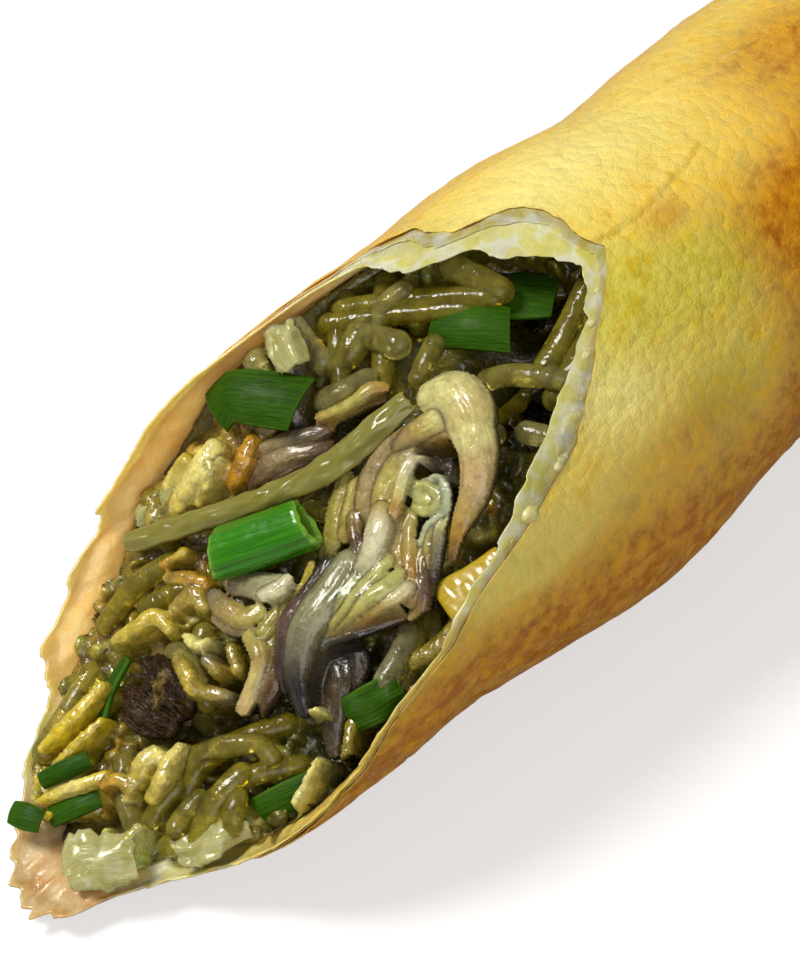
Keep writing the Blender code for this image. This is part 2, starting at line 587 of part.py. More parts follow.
def noodle_heap(core_piece, pieces):
    """The heap: noodles and crumbs fused to the core, then cleared of the pieces that lie in it."""
    heap = bpy.data.collections.new("heap")
    bpy.context.scene.collection.children.link(heap)
    rng = random.Random(CRUMB_SEED)
    strands = []
    for k, path in enumerate(NOODLES):
        radius = NOODLE_RADIUS * rng.uniform(0.88, 1.1)
        strands.append(strand(f"noodle_{k}", [(*p, radius) for p in path], 1, 2))
    for k in range(CRUMBS):
        turn = rng.uniform(0, math.tau)
        reach = math.sqrt(rng.uniform(0.05, 0.72))
        up, across = 29.0 * reach * math.cos(turn), 14.0 * reach * math.sin(turn)
        lean = rng.uniform(0, math.tau)
        step = rng.uniform(0.5, 1.4)
        height = face_height(up, across) + 0.25
        end = (up + step * math.cos(lean), across + step * math.sin(lean), height)
        strands.append(strand(f"crumb_{k}", [(up, across, height, rng.uniform(0.8, 1.3)),
                                             (*end, rng.uniform(0.7, 1.1))], 1, 1))
    for piece in strands:
        roll.objects.unlink(piece)
        heap.objects.link(piece)
    fuse = core_piece.modifiers.new("fuse", "BOOLEAN")
    fuse.operation = "UNION"
    fuse.operand_type = "COLLECTION"
    fuse.collection = heap
    fuse.solver = "MANIFOLD"
    finish_modifiers(core_piece)
    for piece in strands:
        bpy.data.objects.remove(piece)
    for piece in pieces:
        cut_clear(core_piece, piece)
    keep_largest(core_piece)
    mend(core_piece)
    thin = core_piece.modifiers.new("thin", "DECIMATE")
    thin.ratio = FILLING_KEPT
    finish_modifiers(core_piece)
    mend(core_piece)


def swollen(piece, by):
    """A copy of a piece grown outwards, for cutting its room out of a neighbour."""
    graph = bpy.context.evaluated_depsgraph_get()
    mesh = bpy.data.meshes.new_from_object(piece.evaluated_get(graph))
    mesh.transform(piece.matrix_world)
    bm = bmesh.new()
    bm.from_mesh(mesh)
    bm.normal_update()
    shifts = [(vert, vert.normal * vert.calc_shell_factor() * by * MM) for vert in bm.verts]
    for vert, shift in shifts:
        vert.co += shift
    bm.to_mesh(mesh)
    bm.free()
    cutter = bpy.data.objects.new(piece.name + "_room", mesh)
    cutters.objects.link(cutter)
    return cutter


def cut_clear(piece, neighbour):
    """Takes the neighbour's room, with a small gap, out of the piece."""
    cutter = swollen(neighbour, CLEARANCE)
    cut = piece.modifiers.new("room", "BOOLEAN")
    cut.operation = "DIFFERENCE"
    cut.object = cutter
    cut.solver = "MANIFOLD"
    finish_modifiers(piece)
    bpy.data.objects.remove(cutter)


for old in list(bpy.data.objects):
    bpy.data.objects.remove(old)
roll = bpy.data.collections.new("spring_roll")
cutters = bpy.data.collections.new("cutters")
bpy.context.scene.collection.children.link(roll)
bpy.context.scene.collection.children.link(cutters)

fried = material("fried_sheet", (0.78, 0.52, 0.17), 0.42)
mash = material("filling", (0.46, 0.42, 0.12), 0.3)
oyster_grey = material("oyster", (0.46, 0.42, 0.3), 0.25)
green = material("spring_onion", (0.05, 0.32, 0.03), 0.3)
dark = material("mushroom", (0.07, 0.045, 0.02), 0.5)
pale = material("cabbage", (0.68, 0.66, 0.42), 0.3)
yellow = material("bamboo", (0.78, 0.64, 0.2), 0.4)
clear = material("noodle", (0.6, 0.56, 0.3), 0.15)

sheet = wrapper()
bulk = core()
oyster = soft_piece("oyster", OYSTER_LOBES, 0.75, 0.3)
small_oyster = soft_piece("oyster_small", SMALL_OYSTER_LOBES, 0.6, 0.3)
mantle = soft_piece("oyster_mantle", MANTLE_STRIP_LOBES, 0.6, 0.35)
mushroom = soft_piece("mushroom", MUSHROOM_LOBES, 0.6, 0.35)
tube = onion_tube()
bamboo = bamboo_strip()
noodle_strip = ribbon("noodle_ribbon", NOODLE_RIBBON, 0.8, 3, 0.25)
leaves = [ribbon(name, stations, LEAF_THICKNESS, 4, curl, 0.08) for name, stations, curl in ONION_LEAVES]
cabbages = [ribbon(name, stations, CABBAGE_THICKNESS, 4, curl, 0.2) for name, stations, curl in CABBAGE]

bpy.context.view_layer.update()
noodle_heap(bulk, [oyster, small_oyster, mantle, mushroom, tube, bamboo, noodle_strip, *leaves, *cabbages])

for finish, pieces in ((fried, [sheet]), (mash, [bulk]), (oyster_grey, [oyster, small_oyster, mantle]),
                       (green, [tube, *leaves]), (dark, [mushroom]), (pale, cabbages),
                       (yellow, [bamboo]), (clear, [noodle_strip])):
    for piece in pieces:
        piece.data.materials.clear()
        piece.data.materials.append(finish)
cutters.hide_render = True
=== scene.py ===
import math
import random

import bmesh
import bpy
import numpy as np
from mathutils import Matrix, Vector, noise


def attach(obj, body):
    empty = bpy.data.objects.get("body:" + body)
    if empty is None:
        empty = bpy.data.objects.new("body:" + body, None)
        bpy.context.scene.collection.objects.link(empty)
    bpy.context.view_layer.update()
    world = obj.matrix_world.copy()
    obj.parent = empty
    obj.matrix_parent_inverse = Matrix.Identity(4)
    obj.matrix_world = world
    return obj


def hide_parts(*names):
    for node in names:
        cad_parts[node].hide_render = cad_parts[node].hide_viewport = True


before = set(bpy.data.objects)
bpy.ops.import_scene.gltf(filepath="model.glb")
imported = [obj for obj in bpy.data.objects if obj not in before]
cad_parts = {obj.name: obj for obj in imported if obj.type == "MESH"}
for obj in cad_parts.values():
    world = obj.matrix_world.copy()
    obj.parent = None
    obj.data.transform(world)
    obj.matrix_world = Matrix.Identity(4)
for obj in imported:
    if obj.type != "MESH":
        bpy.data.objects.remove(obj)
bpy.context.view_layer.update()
MM = 0.001

# %% [markdown]
# ## Where things are
# A place on the roll is its place along X, its angle round the axis from the top, and its radius.
# The same formulas made the solids, so whatever is built with them lands on the model.
# %% The roll's own measures
ROLL_RADIUS = 17.2
AXIS_HEIGHT = 16.5
FAR_END = 54.0
CLOSE_FROM = 42.0
WALL = 1.3


def smooth_step(t):
    t = min(1.0, max(0.0, t))
    return t * t * (3 - 2 * t)


def bump(value, centre, width):
    return math.exp(-(((value - centre) / width) ** 2))


def wrapped(angle):
    return (angle + 180.0) % 360.0 - 180.0


def speckle(x, y, z):
    return noise.noise(Vector((x, y, z)))


def flap_step(x, angle):
    """The sheet's last edge: a step aslant along the far side that fades out behind it."""
    behind = (angle + 38.0 - 0.9 * x) % 360.0
    return 0.45 * max(0.0, 1.0 - behind / 80.0) * smooth_step((x + 6.0) / 8.0)


def skin_radius(x, angle):
    """The roll's radius: pinched towards the bite, lumpy where the filling pushes."""
    a = wrapped(angle)
    near_side, far_side = bump(a, 122, 48), bump(a, -60, 48)
    radius = ROLL_RADIUS
    radius -= 3.0 * (max(0.0, -32.0 - x) / 24.0) ** 1.5 * (0.4 + 0.6 * near_side)
    radius += near_side * (1.2 * bump(x, -6, 9) - 1.5 * bump(x, 14, 7) + 0.7 * bump(x, 28, 8)
                           - 0.7 * bump(x, -28, 10))
    radius += far_side * (0.7 + 0.6 * bump(x, 0, 8) - 0.5 * bump(x, 13, 6) + 0.5 * bump(x, 31, 8))
    turn = math.radians(angle)
    radius += 0.35 * speckle(x * 0.09, math.cos(turn) * 1.5, math.sin(turn) * 1.5)
    return radius + flap_step(x, a)


def place(x, angle, radius, floor):
    turn = math.radians(angle)
    z = AXIS_HEIGHT + radius * math.cos(turn)
    return Vector((x, -radius * math.sin(turn), max(floor, z)))


def end_scale(x):
    t = min(1.0, max(0.0, (x - CLOSE_FROM) / (FAR_END - CLOSE_FROM)))
    return (1.0 - t ** 2.6) ** (1 / 2.6)


def tuck(x, angle):
    """The folded-in corners of the sheet at the shut end."""
    depth = smooth_step((x - CLOSE_FROM) / 6.0)
    return 1.0 - 0.07 * depth * abs(math.sin(1.5 * math.radians(angle) + 0.4)) ** 3


# %% [markdown]
# ## The torn rim
# A bite tears the outer layer in small steps and leaves the layers under it standing out, here
# and there by several millimetres. Straight lines between many stations keep the tear crisp,
# where a smooth curve would look cut with scissors.
# %% Stations of the tear
TEAR = np.array((
    (-180, -58.2), (-176, -57.4), (-172, -57.9), (-168, -56.4), (-163, -55.3), (-158, -53.8),
    (-152, -51.9), (-147, -50.5), (-142, -48.7), (-137, -46.0), (-134, -44.9), (-128, -44.5),
    (-122, -43.7), (-116, -40.6), (-108, -38.2), (-106, -37.2), (-103, -34.9), (-96, -34.0),
    (-91, -31.5), (-87, -29.8), (-77, -27.4), (-65, -22.6), (-60, -20.3), (-54, -15.5),
    (-50, -12.4), (-46, -8.6), (-39, -6.4), (-29, -6.6), (-23, -5.8), (-20, -4.0), (-16, -1.4),
    (-10, -0.3), (-3, 0.0), (4, -0.2), (10, 0.6), (14, -0.2), (18, -1.4), (22, -3.0), (27, -5.0),
    (31, -6.2), (36, -7.9), (42, -10.2), (47, -11.8), (50, -13.9), (54, -16.4), (58, -19.6),
    (62, -23.4), (66, -26.0), (73, -28.4), (77, -31.2), (81, -33.6), (85, -35.4), (89, -36.2),
    (96, -37.6), (103, -40.2), (110, -41.8), (120, -44.3), (130, -45.4), (140, -46.9), (146, -48.2),
    (152, -49.8), (157, -51.4), (161, -53.4), (164, -56.4), (167, -57.2), (170, -56.8),
    (173, -58.3), (176, -57.7), (178, -58.8)))
# How far the layers underneath stand out past the tear
STAND_OUT = np.array((
    (-180, 0.9), (-150, 0.7), (-120, 0.8), (-95, 1.4), (-75, 2.8), (-58, 4.2), (-40, 5.2), (-25, 5.0),
    (-14, 5.8), (-6, 5.6), (-2, 4.3), (4, 2.6), (10, 2.3), (16, 2.4), (22, 1.7), (28, 1.9), (34, 3.2),
    (40, 4.1), (46, 5.3), (52, 4.6), (57, 3.2), (63, 1.5), (75, 0.9), (110, 0.6), (150, 0.8),
    (170, 1.4)))


def read_loop(stations, angle):
    return float(np.interp(wrapped(angle), stations[:, 0], stations[:, 1], period=360.0))


def tear(angle, layer):
    """Where a layer ends along X: layer 0 is the outer sheet, 1 the innermost."""
    turn = math.radians(angle)
    if 0.0 < layer < 1.0:
        layer = min(1.0, max(0.05, layer + 0.75 * speckle(math.cos(turn) * 2.2, math.sin(turn) * 2.2, 4.0)))
    rough = 0.30 * speckle(math.cos(turn) * 14, math.sin(turn) * 14, 3.1 + layer * 5)
    rough += 0.14 * speckle(math.cos(turn) * 40, math.sin(turn) * 40, 8.2 + layer * 5)
    out = read_loop(STAND_OUT, angle) * layer
    return read_loop(TEAR, angle) + rough * (1 + 1.2 * layer) - out


print("the tear runs from x =", TEAR[:, 1].min(), "to", TEAR[:, 1].max())

# %% [markdown]
# ## Meshes with their own masks
# Colour that follows the shape, such as browning or painted shade in a hollow, is worked out point
# by point while the mesh is made and kept as a named attribute, which the material then reads. It
# stays in place in any view.
# %% Helpers for meshes and masks
roll = bpy.data.collections.new("spring_roll")
bpy.context.scene.collection.children.link(roll)


def store(mesh, name, kind, field, values):
    """Keeps one value for each point of the mesh as a named attribute."""
    layer = mesh.attributes.new(name, kind, "POINT")
    layer.data.foreach_set(field, np.asarray(values, np.float32).ravel())


def mesh_piece(name, points, faces, masks=None, tint=None, grain=None):
    """A mesh object in metres from points in mm, with the masks, tones and grain of its points.

    The grain is how far a point lies along and across its strand, in mm."""
    mesh = bpy.data.meshes.new(name)
    mesh.from_pydata([tuple(p * MM) for p in points], [], faces)
    bm = bmesh.new()
    bm.from_mesh(mesh)
    bmesh.ops.recalc_face_normals(bm, faces=bm.faces)
    bm.to_mesh(mesh)
    bm.free()
    if tint is not None:
        store(mesh, "tint", "FLOAT_COLOR", "color", np.column_stack((tint, np.ones(len(points)))))
    if grain is not None:
        store(mesh, "grain", "FLOAT_VECTOR", "vector", np.column_stack((grain, np.zeros(len(points)))))
    for mask, values in (masks or {}).items():
        store(mesh, mask, "FLOAT", "value", values)
    mesh.shade_smooth()
    obj = bpy.data.objects.new(name, mesh)
    roll.objects.link(obj)
    return obj


def dress(obj, finish, slot, *nodes):
    """Gives a piece its material, its body and the solids that it stands for. The slot is not used."""
    obj.data.materials.append(finish)
    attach(obj, "root")
    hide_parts(*nodes)
    print(f"{obj.name}: {len(obj.data.polygons)} faces")


def tube_faces(rings, around):
    """Quads between rings of points that follow each other, with a point at either end."""
    faces = []
    first, last = rings * around, rings * around + 1
    for k in range(around):
        n = (k + 1) % around
        faces.append((first, n, k))
        faces.append((last, (rings - 1) * around + k, (rings - 1) * around + n))
        for r in range(rings - 1):
            faces.append((r * around + k, r * around + n, (r + 1) * around + n, (r + 1) * around + k))
    return faces


# %% [markdown]
# ## Node groups that several finishes share
# Fried dough and wet filling differ in colour, but the same few effects make them real: a blotchy
# mix of two tones, a greasy film that is glossy here and dull there, small blisters, and fibres.
# Each is built once as a group, and every material places it with its own values.
# %% Helpers for node trees
def add_node(tree, kind, links=(), **values):
    """A node with its properties set, and inputs given as name=value or as links."""
    made = tree.nodes.new(kind)
    for key, value in values.items():
        setattr(made, key, value)
    for name, source in links:
        if hasattr(source, "is_output"):
            tree.links.new(source, made.inputs[name])
        else:
            made.inputs[name].default_value = source
    return made


def new_group(name, inputs, outputs):
    group = bpy.data.node_groups.new(name, "ShaderNodeTree")
    for label, kind, value in inputs:
        socket = group.interface.new_socket(label, in_out="INPUT", socket_type=kind)
        socket.default_value = value
    for label, kind in outputs:
        group.interface.new_socket(label, in_out="OUTPUT", socket_type=kind)
    return group, group.nodes.new("NodeGroupInput").outputs, group.nodes.new("NodeGroupOutput").inputs


def use_group(tree, group, links=()):
    return add_node(tree, "ShaderNodeGroup", links, node_tree=group).outputs


def spread(tree, value, low, high):
    """Stretches a value's useful part to the range from 0 to 1."""
    links = [("Value", value), ("From Min", low), ("From Max", high)]
    return add_node(tree, "ShaderNodeMapRange", links).outputs["Result"]


def noise_of(tree, vector, scale, roughness):
    """The value of a soft noise."""
    links = [("Vector", vector), ("Scale", scale), ("Detail", 2.0), ("Roughness", roughness)]
    return add_node(tree, "ShaderNodeTexNoise", links).outputs["Fac"]


def object_place(tree):
    return add_node(tree, "ShaderNodeTexCoord").outputs["Object"]


def sum_of(tree, a, b, operation="ADD"):
    return add_node(tree, "ShaderNodeMath", [(0, a), (1, b)], operation=operation).outputs[0]


def blend_colours(tree, share, first, second, blend="MIX"):
    """Mixes two colours, each a socket or an (r, g, b) tuple."""
    first, second = ((*c, 1) if isinstance(c, tuple) else c for c in (first, second))
    made = add_node(tree, "ShaderNodeMix", [("Factor", share), (6, first), (7, second)],
                    data_type="RGBA", blend_type=blend)
    return made.outputs[2]


FLOAT, COLOUR, VECTOR = "NodeSocketFloat", "NodeSocketColor", "NodeSocketVector"

# %% The blotchy mix of two tones
blotches, got, give = new_group(
    "Blotches", [("Tone A", COLOUR, (1, 1, 1, 1)), ("Tone B", COLOUR, (0, 0, 0, 1)),
                 ("Scale", FLOAT, 300.0), ("Softness", FLOAT, 0.3)], [("Colour", COLOUR), ("Mask", FLOAT)])
cloud = noise_of(blotches, object_place(blotches), got["Scale"], 0.65)
low = sum_of(blotches, 0.5, sum_of(blotches, got["Softness"], 0.5, "MULTIPLY"), "SUBTRACT")
mask = spread(blotches, cloud, low, sum_of(blotches, 1.0, low, "SUBTRACT"))
blotches.links.new(mask, give["Mask"])
blotches.links.new(blend_colours(blotches, mask, got["Tone A"], got["Tone B"]), give["Colour"])
print("group:", blotches.name)

# %% The greasy film: patches of gloss, and the fine unevenness that breaks up highlights
film, got, give = new_group(
    "Greasy film", [("Glossy", FLOAT, 0.12), ("Dull", FLOAT, 0.4), ("Scale", FLOAT, 500.0)],
    [("Roughness", FLOAT), ("Height", FLOAT)])
uneven = noise_of(film, object_place(film), got["Scale"], 0.7)
share = spread(film, uneven, 0.38, 0.62)
gap = sum_of(film, got["Dull"], got["Glossy"], "SUBTRACT")
film.links.new(sum_of(film, got["Glossy"], sum_of(film, gap, share, "MULTIPLY")), give["Roughness"])
film.links.new(uneven, give["Height"])
print("group:", film.name)

# %% Frying blisters: round swellings and a fine grain
blister, got, give = new_group("Frying blisters", [("Size in mm", FLOAT, 1.2), ("Grain", FLOAT, 0.4)],
                               [("Height", FLOAT), ("Pits", FLOAT)])
spot = object_place(blister)
per_metre = sum_of(blister, 1000.0, got["Size in mm"], "DIVIDE")
cells = add_node(blister, "ShaderNodeTexVoronoi", [("Vector", spot), ("Scale", per_metre)], feature="F1")
grain = noise_of(blister, spot, sum_of(blister, per_metre, 4.0, "MULTIPLY"), 0.7)
dome = sum_of(blister, 1.0, sum_of(blister, cells.outputs["Distance"], 2.0, "POWER"), "SUBTRACT")
rise = sum_of(blister, dome, sum_of(blister, grain, got["Grain"], "MULTIPLY"))
blister.links.new(rise, give["Height"])
blister.links.new(spread(blister, cells.outputs["Distance"], 0.45, 0.75), give["Pits"])
print("group:", blister.name)

# %% Fibres: noise drawn out along the piece, read from its own 'grain' attribute
fibres, got, give = new_group("Fibres", [("Across per mm", FLOAT, 4.0), ("Along per mm", FLOAT, 0.3)],
                              [("Height", FLOAT), ("Mask", FLOAT)])
grain_at = add_node(fibres, "ShaderNodeAttribute", attribute_name="grain").outputs["Vector"]
parts = add_node(fibres, "ShaderNodeSeparateXYZ", [(0, grain_at)])
drawn = add_node(fibres, "ShaderNodeCombineXYZ", [
    (0, sum_of(fibres, parts.outputs[0], got["Along per mm"], "MULTIPLY")),
    (1, sum_of(fibres, parts.outputs[1], got["Across per mm"], "MULTIPLY")), (2, parts.outputs[2])])
threads = noise_of(fibres, drawn.outputs[0], 1.0, 0.6)
fibres.links.new(threads, give["Height"])
fibres.links.new(spread(fibres, threads, 0.35, 0.65), give["Mask"])
print("group:", fibres.name)


# %% [markdown]
# ## A finish starts from its constants
# What is the same all over a surface, such as how far light goes in or how strong the clear coat
# is, is set straight on the shader. Only what changes over the surface comes from nodes.
# %% A material with the settings that never vary set straight on the shader
def new_finish(name, subsurface=0.0, reach=1.5, tone=(1.0, 0.6, 0.25), coat=0.0, coat_rough=0.08,
               ior=1.45, transmission=0.0, specular=0.5):
    """A material, its node tree and its shader; reach is how far light goes in, in mm."""
    made = bpy.data.materials.new(name)
    made.use_nodes = True
    shader = made.node_tree.nodes["Principled BSDF"]
    for label, value in (("Subsurface Weight", subsurface), ("Subsurface Scale", reach * MM),
                         ("Subsurface Radius", tone), ("Coat Weight", coat),
                         ("Coat Roughness", coat_rough), ("IOR", ior),
                         ("Transmission Weight", transmission), ("Specular IOR Level", specular)):
        shader.inputs[label].default_value = value
    return made, made.node_tree, shader


def join_surface(tree, shader, colour, gloss, relief, height=None, with_film=False):
    """Links a colour, a greasy film and a bump to the shader.

    gloss is the film's (glossy, dull, scale), and relief the bump's (distance in mm, strength).
    The bump follows the film unless it gets a height of its own, or both together."""
    greasy = use_group(tree, film, list(zip(("Glossy", "Dull", "Scale"), gloss)))
    if height is None:
        height = greasy["Height"]
    elif with_film:
        height = sum_of(tree, height, greasy["Height"])
    bumped = add_node(tree, "ShaderNodeBump", [("Height", height), ("Distance", relief[0] * MM),
                                               ("Strength", relief[1])])
    for source, label in ((colour, "Base Color"), (greasy["Roughness"], "Roughness"),
                          (bumped.outputs["Normal"], "Normal")):
        tree.links.new(source, shader.inputs[label])


def mottled(tree, tone_a, tone_b, scale, softness):
    """A colour that wanders between two tones."""
    links = [("Tone A", (*tone_a, 1)), ("Tone B", (*tone_b, 1)), ("Scale", scale), ("Softness", softness)]
    return use_group(tree, blotches, links)["Colour"]


def tint_of(tree):
    return add_node(tree, "ShaderNodeAttribute", attribute_name="tint").outputs["Color"]


def mask_of(tree, name):
    return add_node(tree, "ShaderNodeAttribute", attribute_name=name).outputs["Fac"]
# %% [markdown]
# ## The fried sheet
# The wrapper is one sheet wound round several times. At the bite three layers show, each torn
# elsewhere, so three closed lofts stand for them: a golden outer layer, a thin pale one, and the
# innermost, which is wet and translucent. Rings of points follow the tear at one end and close
# over the tucked end at the other, so the same loop makes the skin, the edge and the inside.
# %% Relief of the skin
AROUND = 400
CRACK = np.array(((-0.3, 8), (2.2, 9), (5.1, 9), (8.4, 7), (11.5, 5), (14.2, 2)))


def crack(x, angle):
    """A thin flap of the outer layer ends along a short line near the top."""
    away = (wrapped(angle) - float(np.interp(x, CRACK[:, 0], CRACK[:, 1]))) * 0.3
    here = smooth_step((x + 1.5) / 1.5) * smooth_step((16.0 - x) / 3.0)
    return here * (0.2 * smooth_step(-away / 0.3) * math.exp(min(0.0, away) / 2.5)
                   - 0.12 * bump(away, 0.12, 0.2))


def fried_relief(x, angle):
    """Blisters and creases of the outer layer, in mm of radius."""
    turn = math.radians(angle)
    y, z = 17.0 * math.sin(turn), 17.0 * math.cos(turn)
    soft = 0.14 * speckle(x * 0.22, y * 0.22, z * 0.22) + 0.07 * speckle(x * 0.6, y * 0.6, z * 0.6)
    grain = 0.035 * speckle(x * 1.6, y * 1.6, z * 1.6)
    browned = smooth_step((wrapped(angle) - 50.0) / 40.0)
    crease = abs(speckle(x * 0.16 + 5, wrapped(angle) * 0.075, 2.0))
    return soft + grain - browned * 0.22 * bump(crease, 0.0, 0.07) + crack(x, angle) - 0.1


def sheet_layer(name, layer, less, floors, outer_steps, inner_steps, relief):
    """One closed layer: outside from the tucked end to the tear, over the edge, and back inside.

    less holds how far its two faces lie inside the roll's skin, floors their lowest heights."""
    angles = [360.0 * k / AROUND for k in range(AROUND)]
    ends = [tear(a, layer) for a in angles]
    points, xs, turns, sides, depths = [], [], [], [], []

    def add_ring(spot_of, floor, side):
        for a, end in zip(angles, ends):
            x, radius = spot_of(a, end)
            points.append(place(x, a, radius, floor))
            xs.append(x)
            turns.append(wrapped(a))
            sides.append(side)
            depths.append(x - end)

    def skin(x, a, rough, inside):
        """The radius of a face; all layers taper together over the last millimetres of the tear."""
        thinned = inside * (0.4 + 0.6 * smooth_step((x - tear(a, 0.0)) / 3.0))
        return skin_radius(x, a) + relief(x, a) * rough - thinned

    def add_face(steps, inside, floor, side, rough):
        for t in steps:
            if t <= 1.0:
                def spot_of(a, end):
                    x = end + t * (CLOSE_FROM - end)
                    return x, skin(x, a, rough, inside)
            else:
                def spot_of(a, end):
                    x = CLOSE_FROM + (t - 1.0) * (FAR_END - CLOSE_FROM)
                    radius = skin_radius(x, a) + relief(x, a) * rough - inside
                    return x - inside * (t - 1.0), radius * end_scale(x) * tuck(x, a)
            add_ring(spot_of, floor, side)

    thickness = less[1] - less[0]

    def edge_spot(a, end):
        x = end - 0.12 * thickness
        return x, skin(x, a, 0.7, less[0] + 0.17 * thickness)

    add_face(outer_steps, less[0], floors[0], 0.0, 1.0)
    add_ring(edge_spot, sum(floors) / 2, 0.5)
    add_face(inner_steps, less[1], floors[1], 1.0, 0.4)
    rings = len(points) // AROUND
    for inside, side in zip(less, (0.0, 1.0)):
        points.append(Vector((FAR_END - 1.2 - inside, 0, AXIS_HEIGHT)))
        xs.append(FAR_END - 1.2 - less[0])
        turns.append(0.0)
        sides.append(side)
        depths.append(99.0)
    masks = sheet_masks(np.array(xs), np.array(turns), np.array(sides), np.array(depths))
    print(f"{name}: {rings} rings, thickness {thickness:.2f} mm")
    return mesh_piece(name, points, tube_faces(rings, AROUND), masks)


# %% [markdown]
# ## Where the sheet is brown and where it is pale
# Oil browns what touches the pan longest: the side and the underside, and the shut end; on the sides
# turned from the lamp the brown is partly painted shade. The top stays pale, with painted light where
# the lamp falls, and where wet cabbage lies against the sheet it turns greenish and see-through. Each
# mask is a few soft patches laid over the roll.
# %% Masks of browning, paleness and the edge
def ramp(values, low, high):
    t = np.clip((values - low) / (high - low), 0.0, 1.0)
    return t * t * (3 - 2 * t)


def patch(x, angle, at_x, at_angle, long, wide):
    turn = (angle - at_angle + 180.0) % 360.0 - 180.0
    return np.exp(-((x - at_x) / long) ** 2 - (turn / wide) ** 2)


def sheet_masks(x, angle, side, depth):
    # Browning, and on the sides turned from the lamp also painted shade.
    browning_and_shade = 0.35 * ramp(x, 8, 26) * ramp(angle, -30, 10) + 0.85 * ramp(angle, 56, 92)
    browning_and_shade += 0.55 * ramp(-angle, 100, 150) + 0.32 * ramp(-angle, 34, 54) + 0.6 * ramp(x, 38, 53)
    browning_and_shade += 0.95 * ramp(x, 5, 17) * ramp(angle, 6, 32) + 0.45 * ramp(x, 18, 30) * ramp(angle, -45, 5)
    browning_and_shade += 0.5 * patch(x, angle, 6.7, 13, 2.4, 5) + 0.35 * patch(x, angle, -2, 62, 7, 8)
    browning_and_shade += 0.3 * patch(x, angle, 26, -14, 7, 12)
    browning_and_shade -= 0.6 * patch(x, angle, -19, 64, 6, 9) + 0.7 * patch(x, angle, -6, 42, 6, 12)
    pale = patch(x, angle, 1, 27, 9, 18) + 0.9 * patch(x, angle, 9, 32, 5, 9)
    pale += 0.6 * patch(x, angle, 4, 60, 7, 12) + 0.45 * patch(x, angle, -19, 66, 6, 8)
    # Pale pockets where the sheet stands off the filling, and painted light on the top where the lamp falls.
    pale_pockets_and_lit_top = patch(x, angle, -6, 42, 5, 12) + 0.8 * patch(x, angle, 3, -17, 14, 16)
    pale_pockets_and_lit_top += 0.5 * patch(x, angle, -19, 64, 7, 9)
    # The far wall, painted as lit through from behind.
    far_wall = ramp(-angle, 38, 62) + ramp(angle, 150, 170)
    return {"browning_and_shade": np.clip(browning_and_shade, 0, 1), "pale": np.clip(pale, 0, 1), "pale_pockets_and_lit_top": np.clip(pale_pockets_and_lit_top, 0, 1),
            "side": side, "edge": np.exp(-(np.clip(depth, 0, 99) / 0.3) ** 2), "tip": ramp(-x, 49, 54),
            "wall": far_wall * (1 - ramp(-x, 44, 49)), "lip": ramp(angle, 58, 80) * ramp(x, -50, -44)}


# %% The three layers
def along_steps(count, crowd):
    """Shares of the way in from the tear, closer together near it, then those of the shut end."""
    return [(k / count) ** crowd for k in range(count + 1)] + SHUT_STEPS


def wet_relief(x, angle):
    """The soaked layers underneath: soft waves and swollen bubbles."""
    turn = math.radians(angle)
    y, z = 16.4 * math.sin(turn), 16.4 * math.cos(turn)
    waves = 0.22 * speckle(x * 0.35 + 9, y * 0.35, z * 0.35)
    return waves + 0.1 * speckle(x * 1.1, y * 1.1, z * 1.1) - 0.14


SHUT_STEPS = [1.10, 1.22, 1.35, 1.48, 1.62, 1.74, 1.84, 1.91, 1.96, 1.99]
thin_steps = along_steps(34, 2.0)[::-1]
outer_sheet = sheet_layer("outer_sheet", 0.0, (0.0, 0.36), (0.0, 0.2), along_steps(210, 1.25)[::-1],
                          along_steps(14, 2.6), fried_relief)
middle_sheet = sheet_layer("middle_sheet", 0.4, (0.37, 0.6), (0.22, 0.4), thin_steps,
                           along_steps(20, 2.4), wet_relief)
inner_sheet = sheet_layer("inner_sheet", 1.0, (0.61, 1.28), (0.42, 0.8), thin_steps,
                          along_steps(60, 1.6), wet_relief)


# %% [markdown]
# ## The look of fried dough
# Fried dough is not a flat orange. Light goes a millimetre or two into it, so it glows, and the
# browning sits in freckles over a pale ground. Subsurface scattering gives the glow. The masks set
# how much brown there is, some of it painted shade, and where painted light makes the top paler;
# the blotches break every border between the tones.
# %% The outer sheet's finish
crust, tree, shader = new_finish("fried_crust", subsurface=0.3, reach=1.2, tone=(1.0, 0.5, 0.1), coat=0.04,
                                 coat_rough=0.25, specular=0.22)
freckles = use_group(tree, blotches, [("Scale", 650.0), ("Softness", 0.4)])
uneven = sum_of(tree, sum_of(tree, freckles["Mask"], -0.5), 0.32, "MULTIPLY")
skin = blend_colours(tree, freckles["Mask"], (0.80, 0.46, 0.03), (0.93, 0.70, 0.16))
# Painted light: the top is made paler where the lamp falls; the same mask also holds paler pockets.
skin = blend_colours(tree, mask_of(tree, "pale_pockets_and_lit_top"), skin, (0.95, 0.79, 0.27))
green = blend_colours(tree, freckles["Mask"], (0.50, 0.39, 0.014), (0.72, 0.63, 0.11))
skin = blend_colours(tree, spread(tree, sum_of(tree, mask_of(tree, "pale"), uneven), 0.1, 0.95), skin, green)
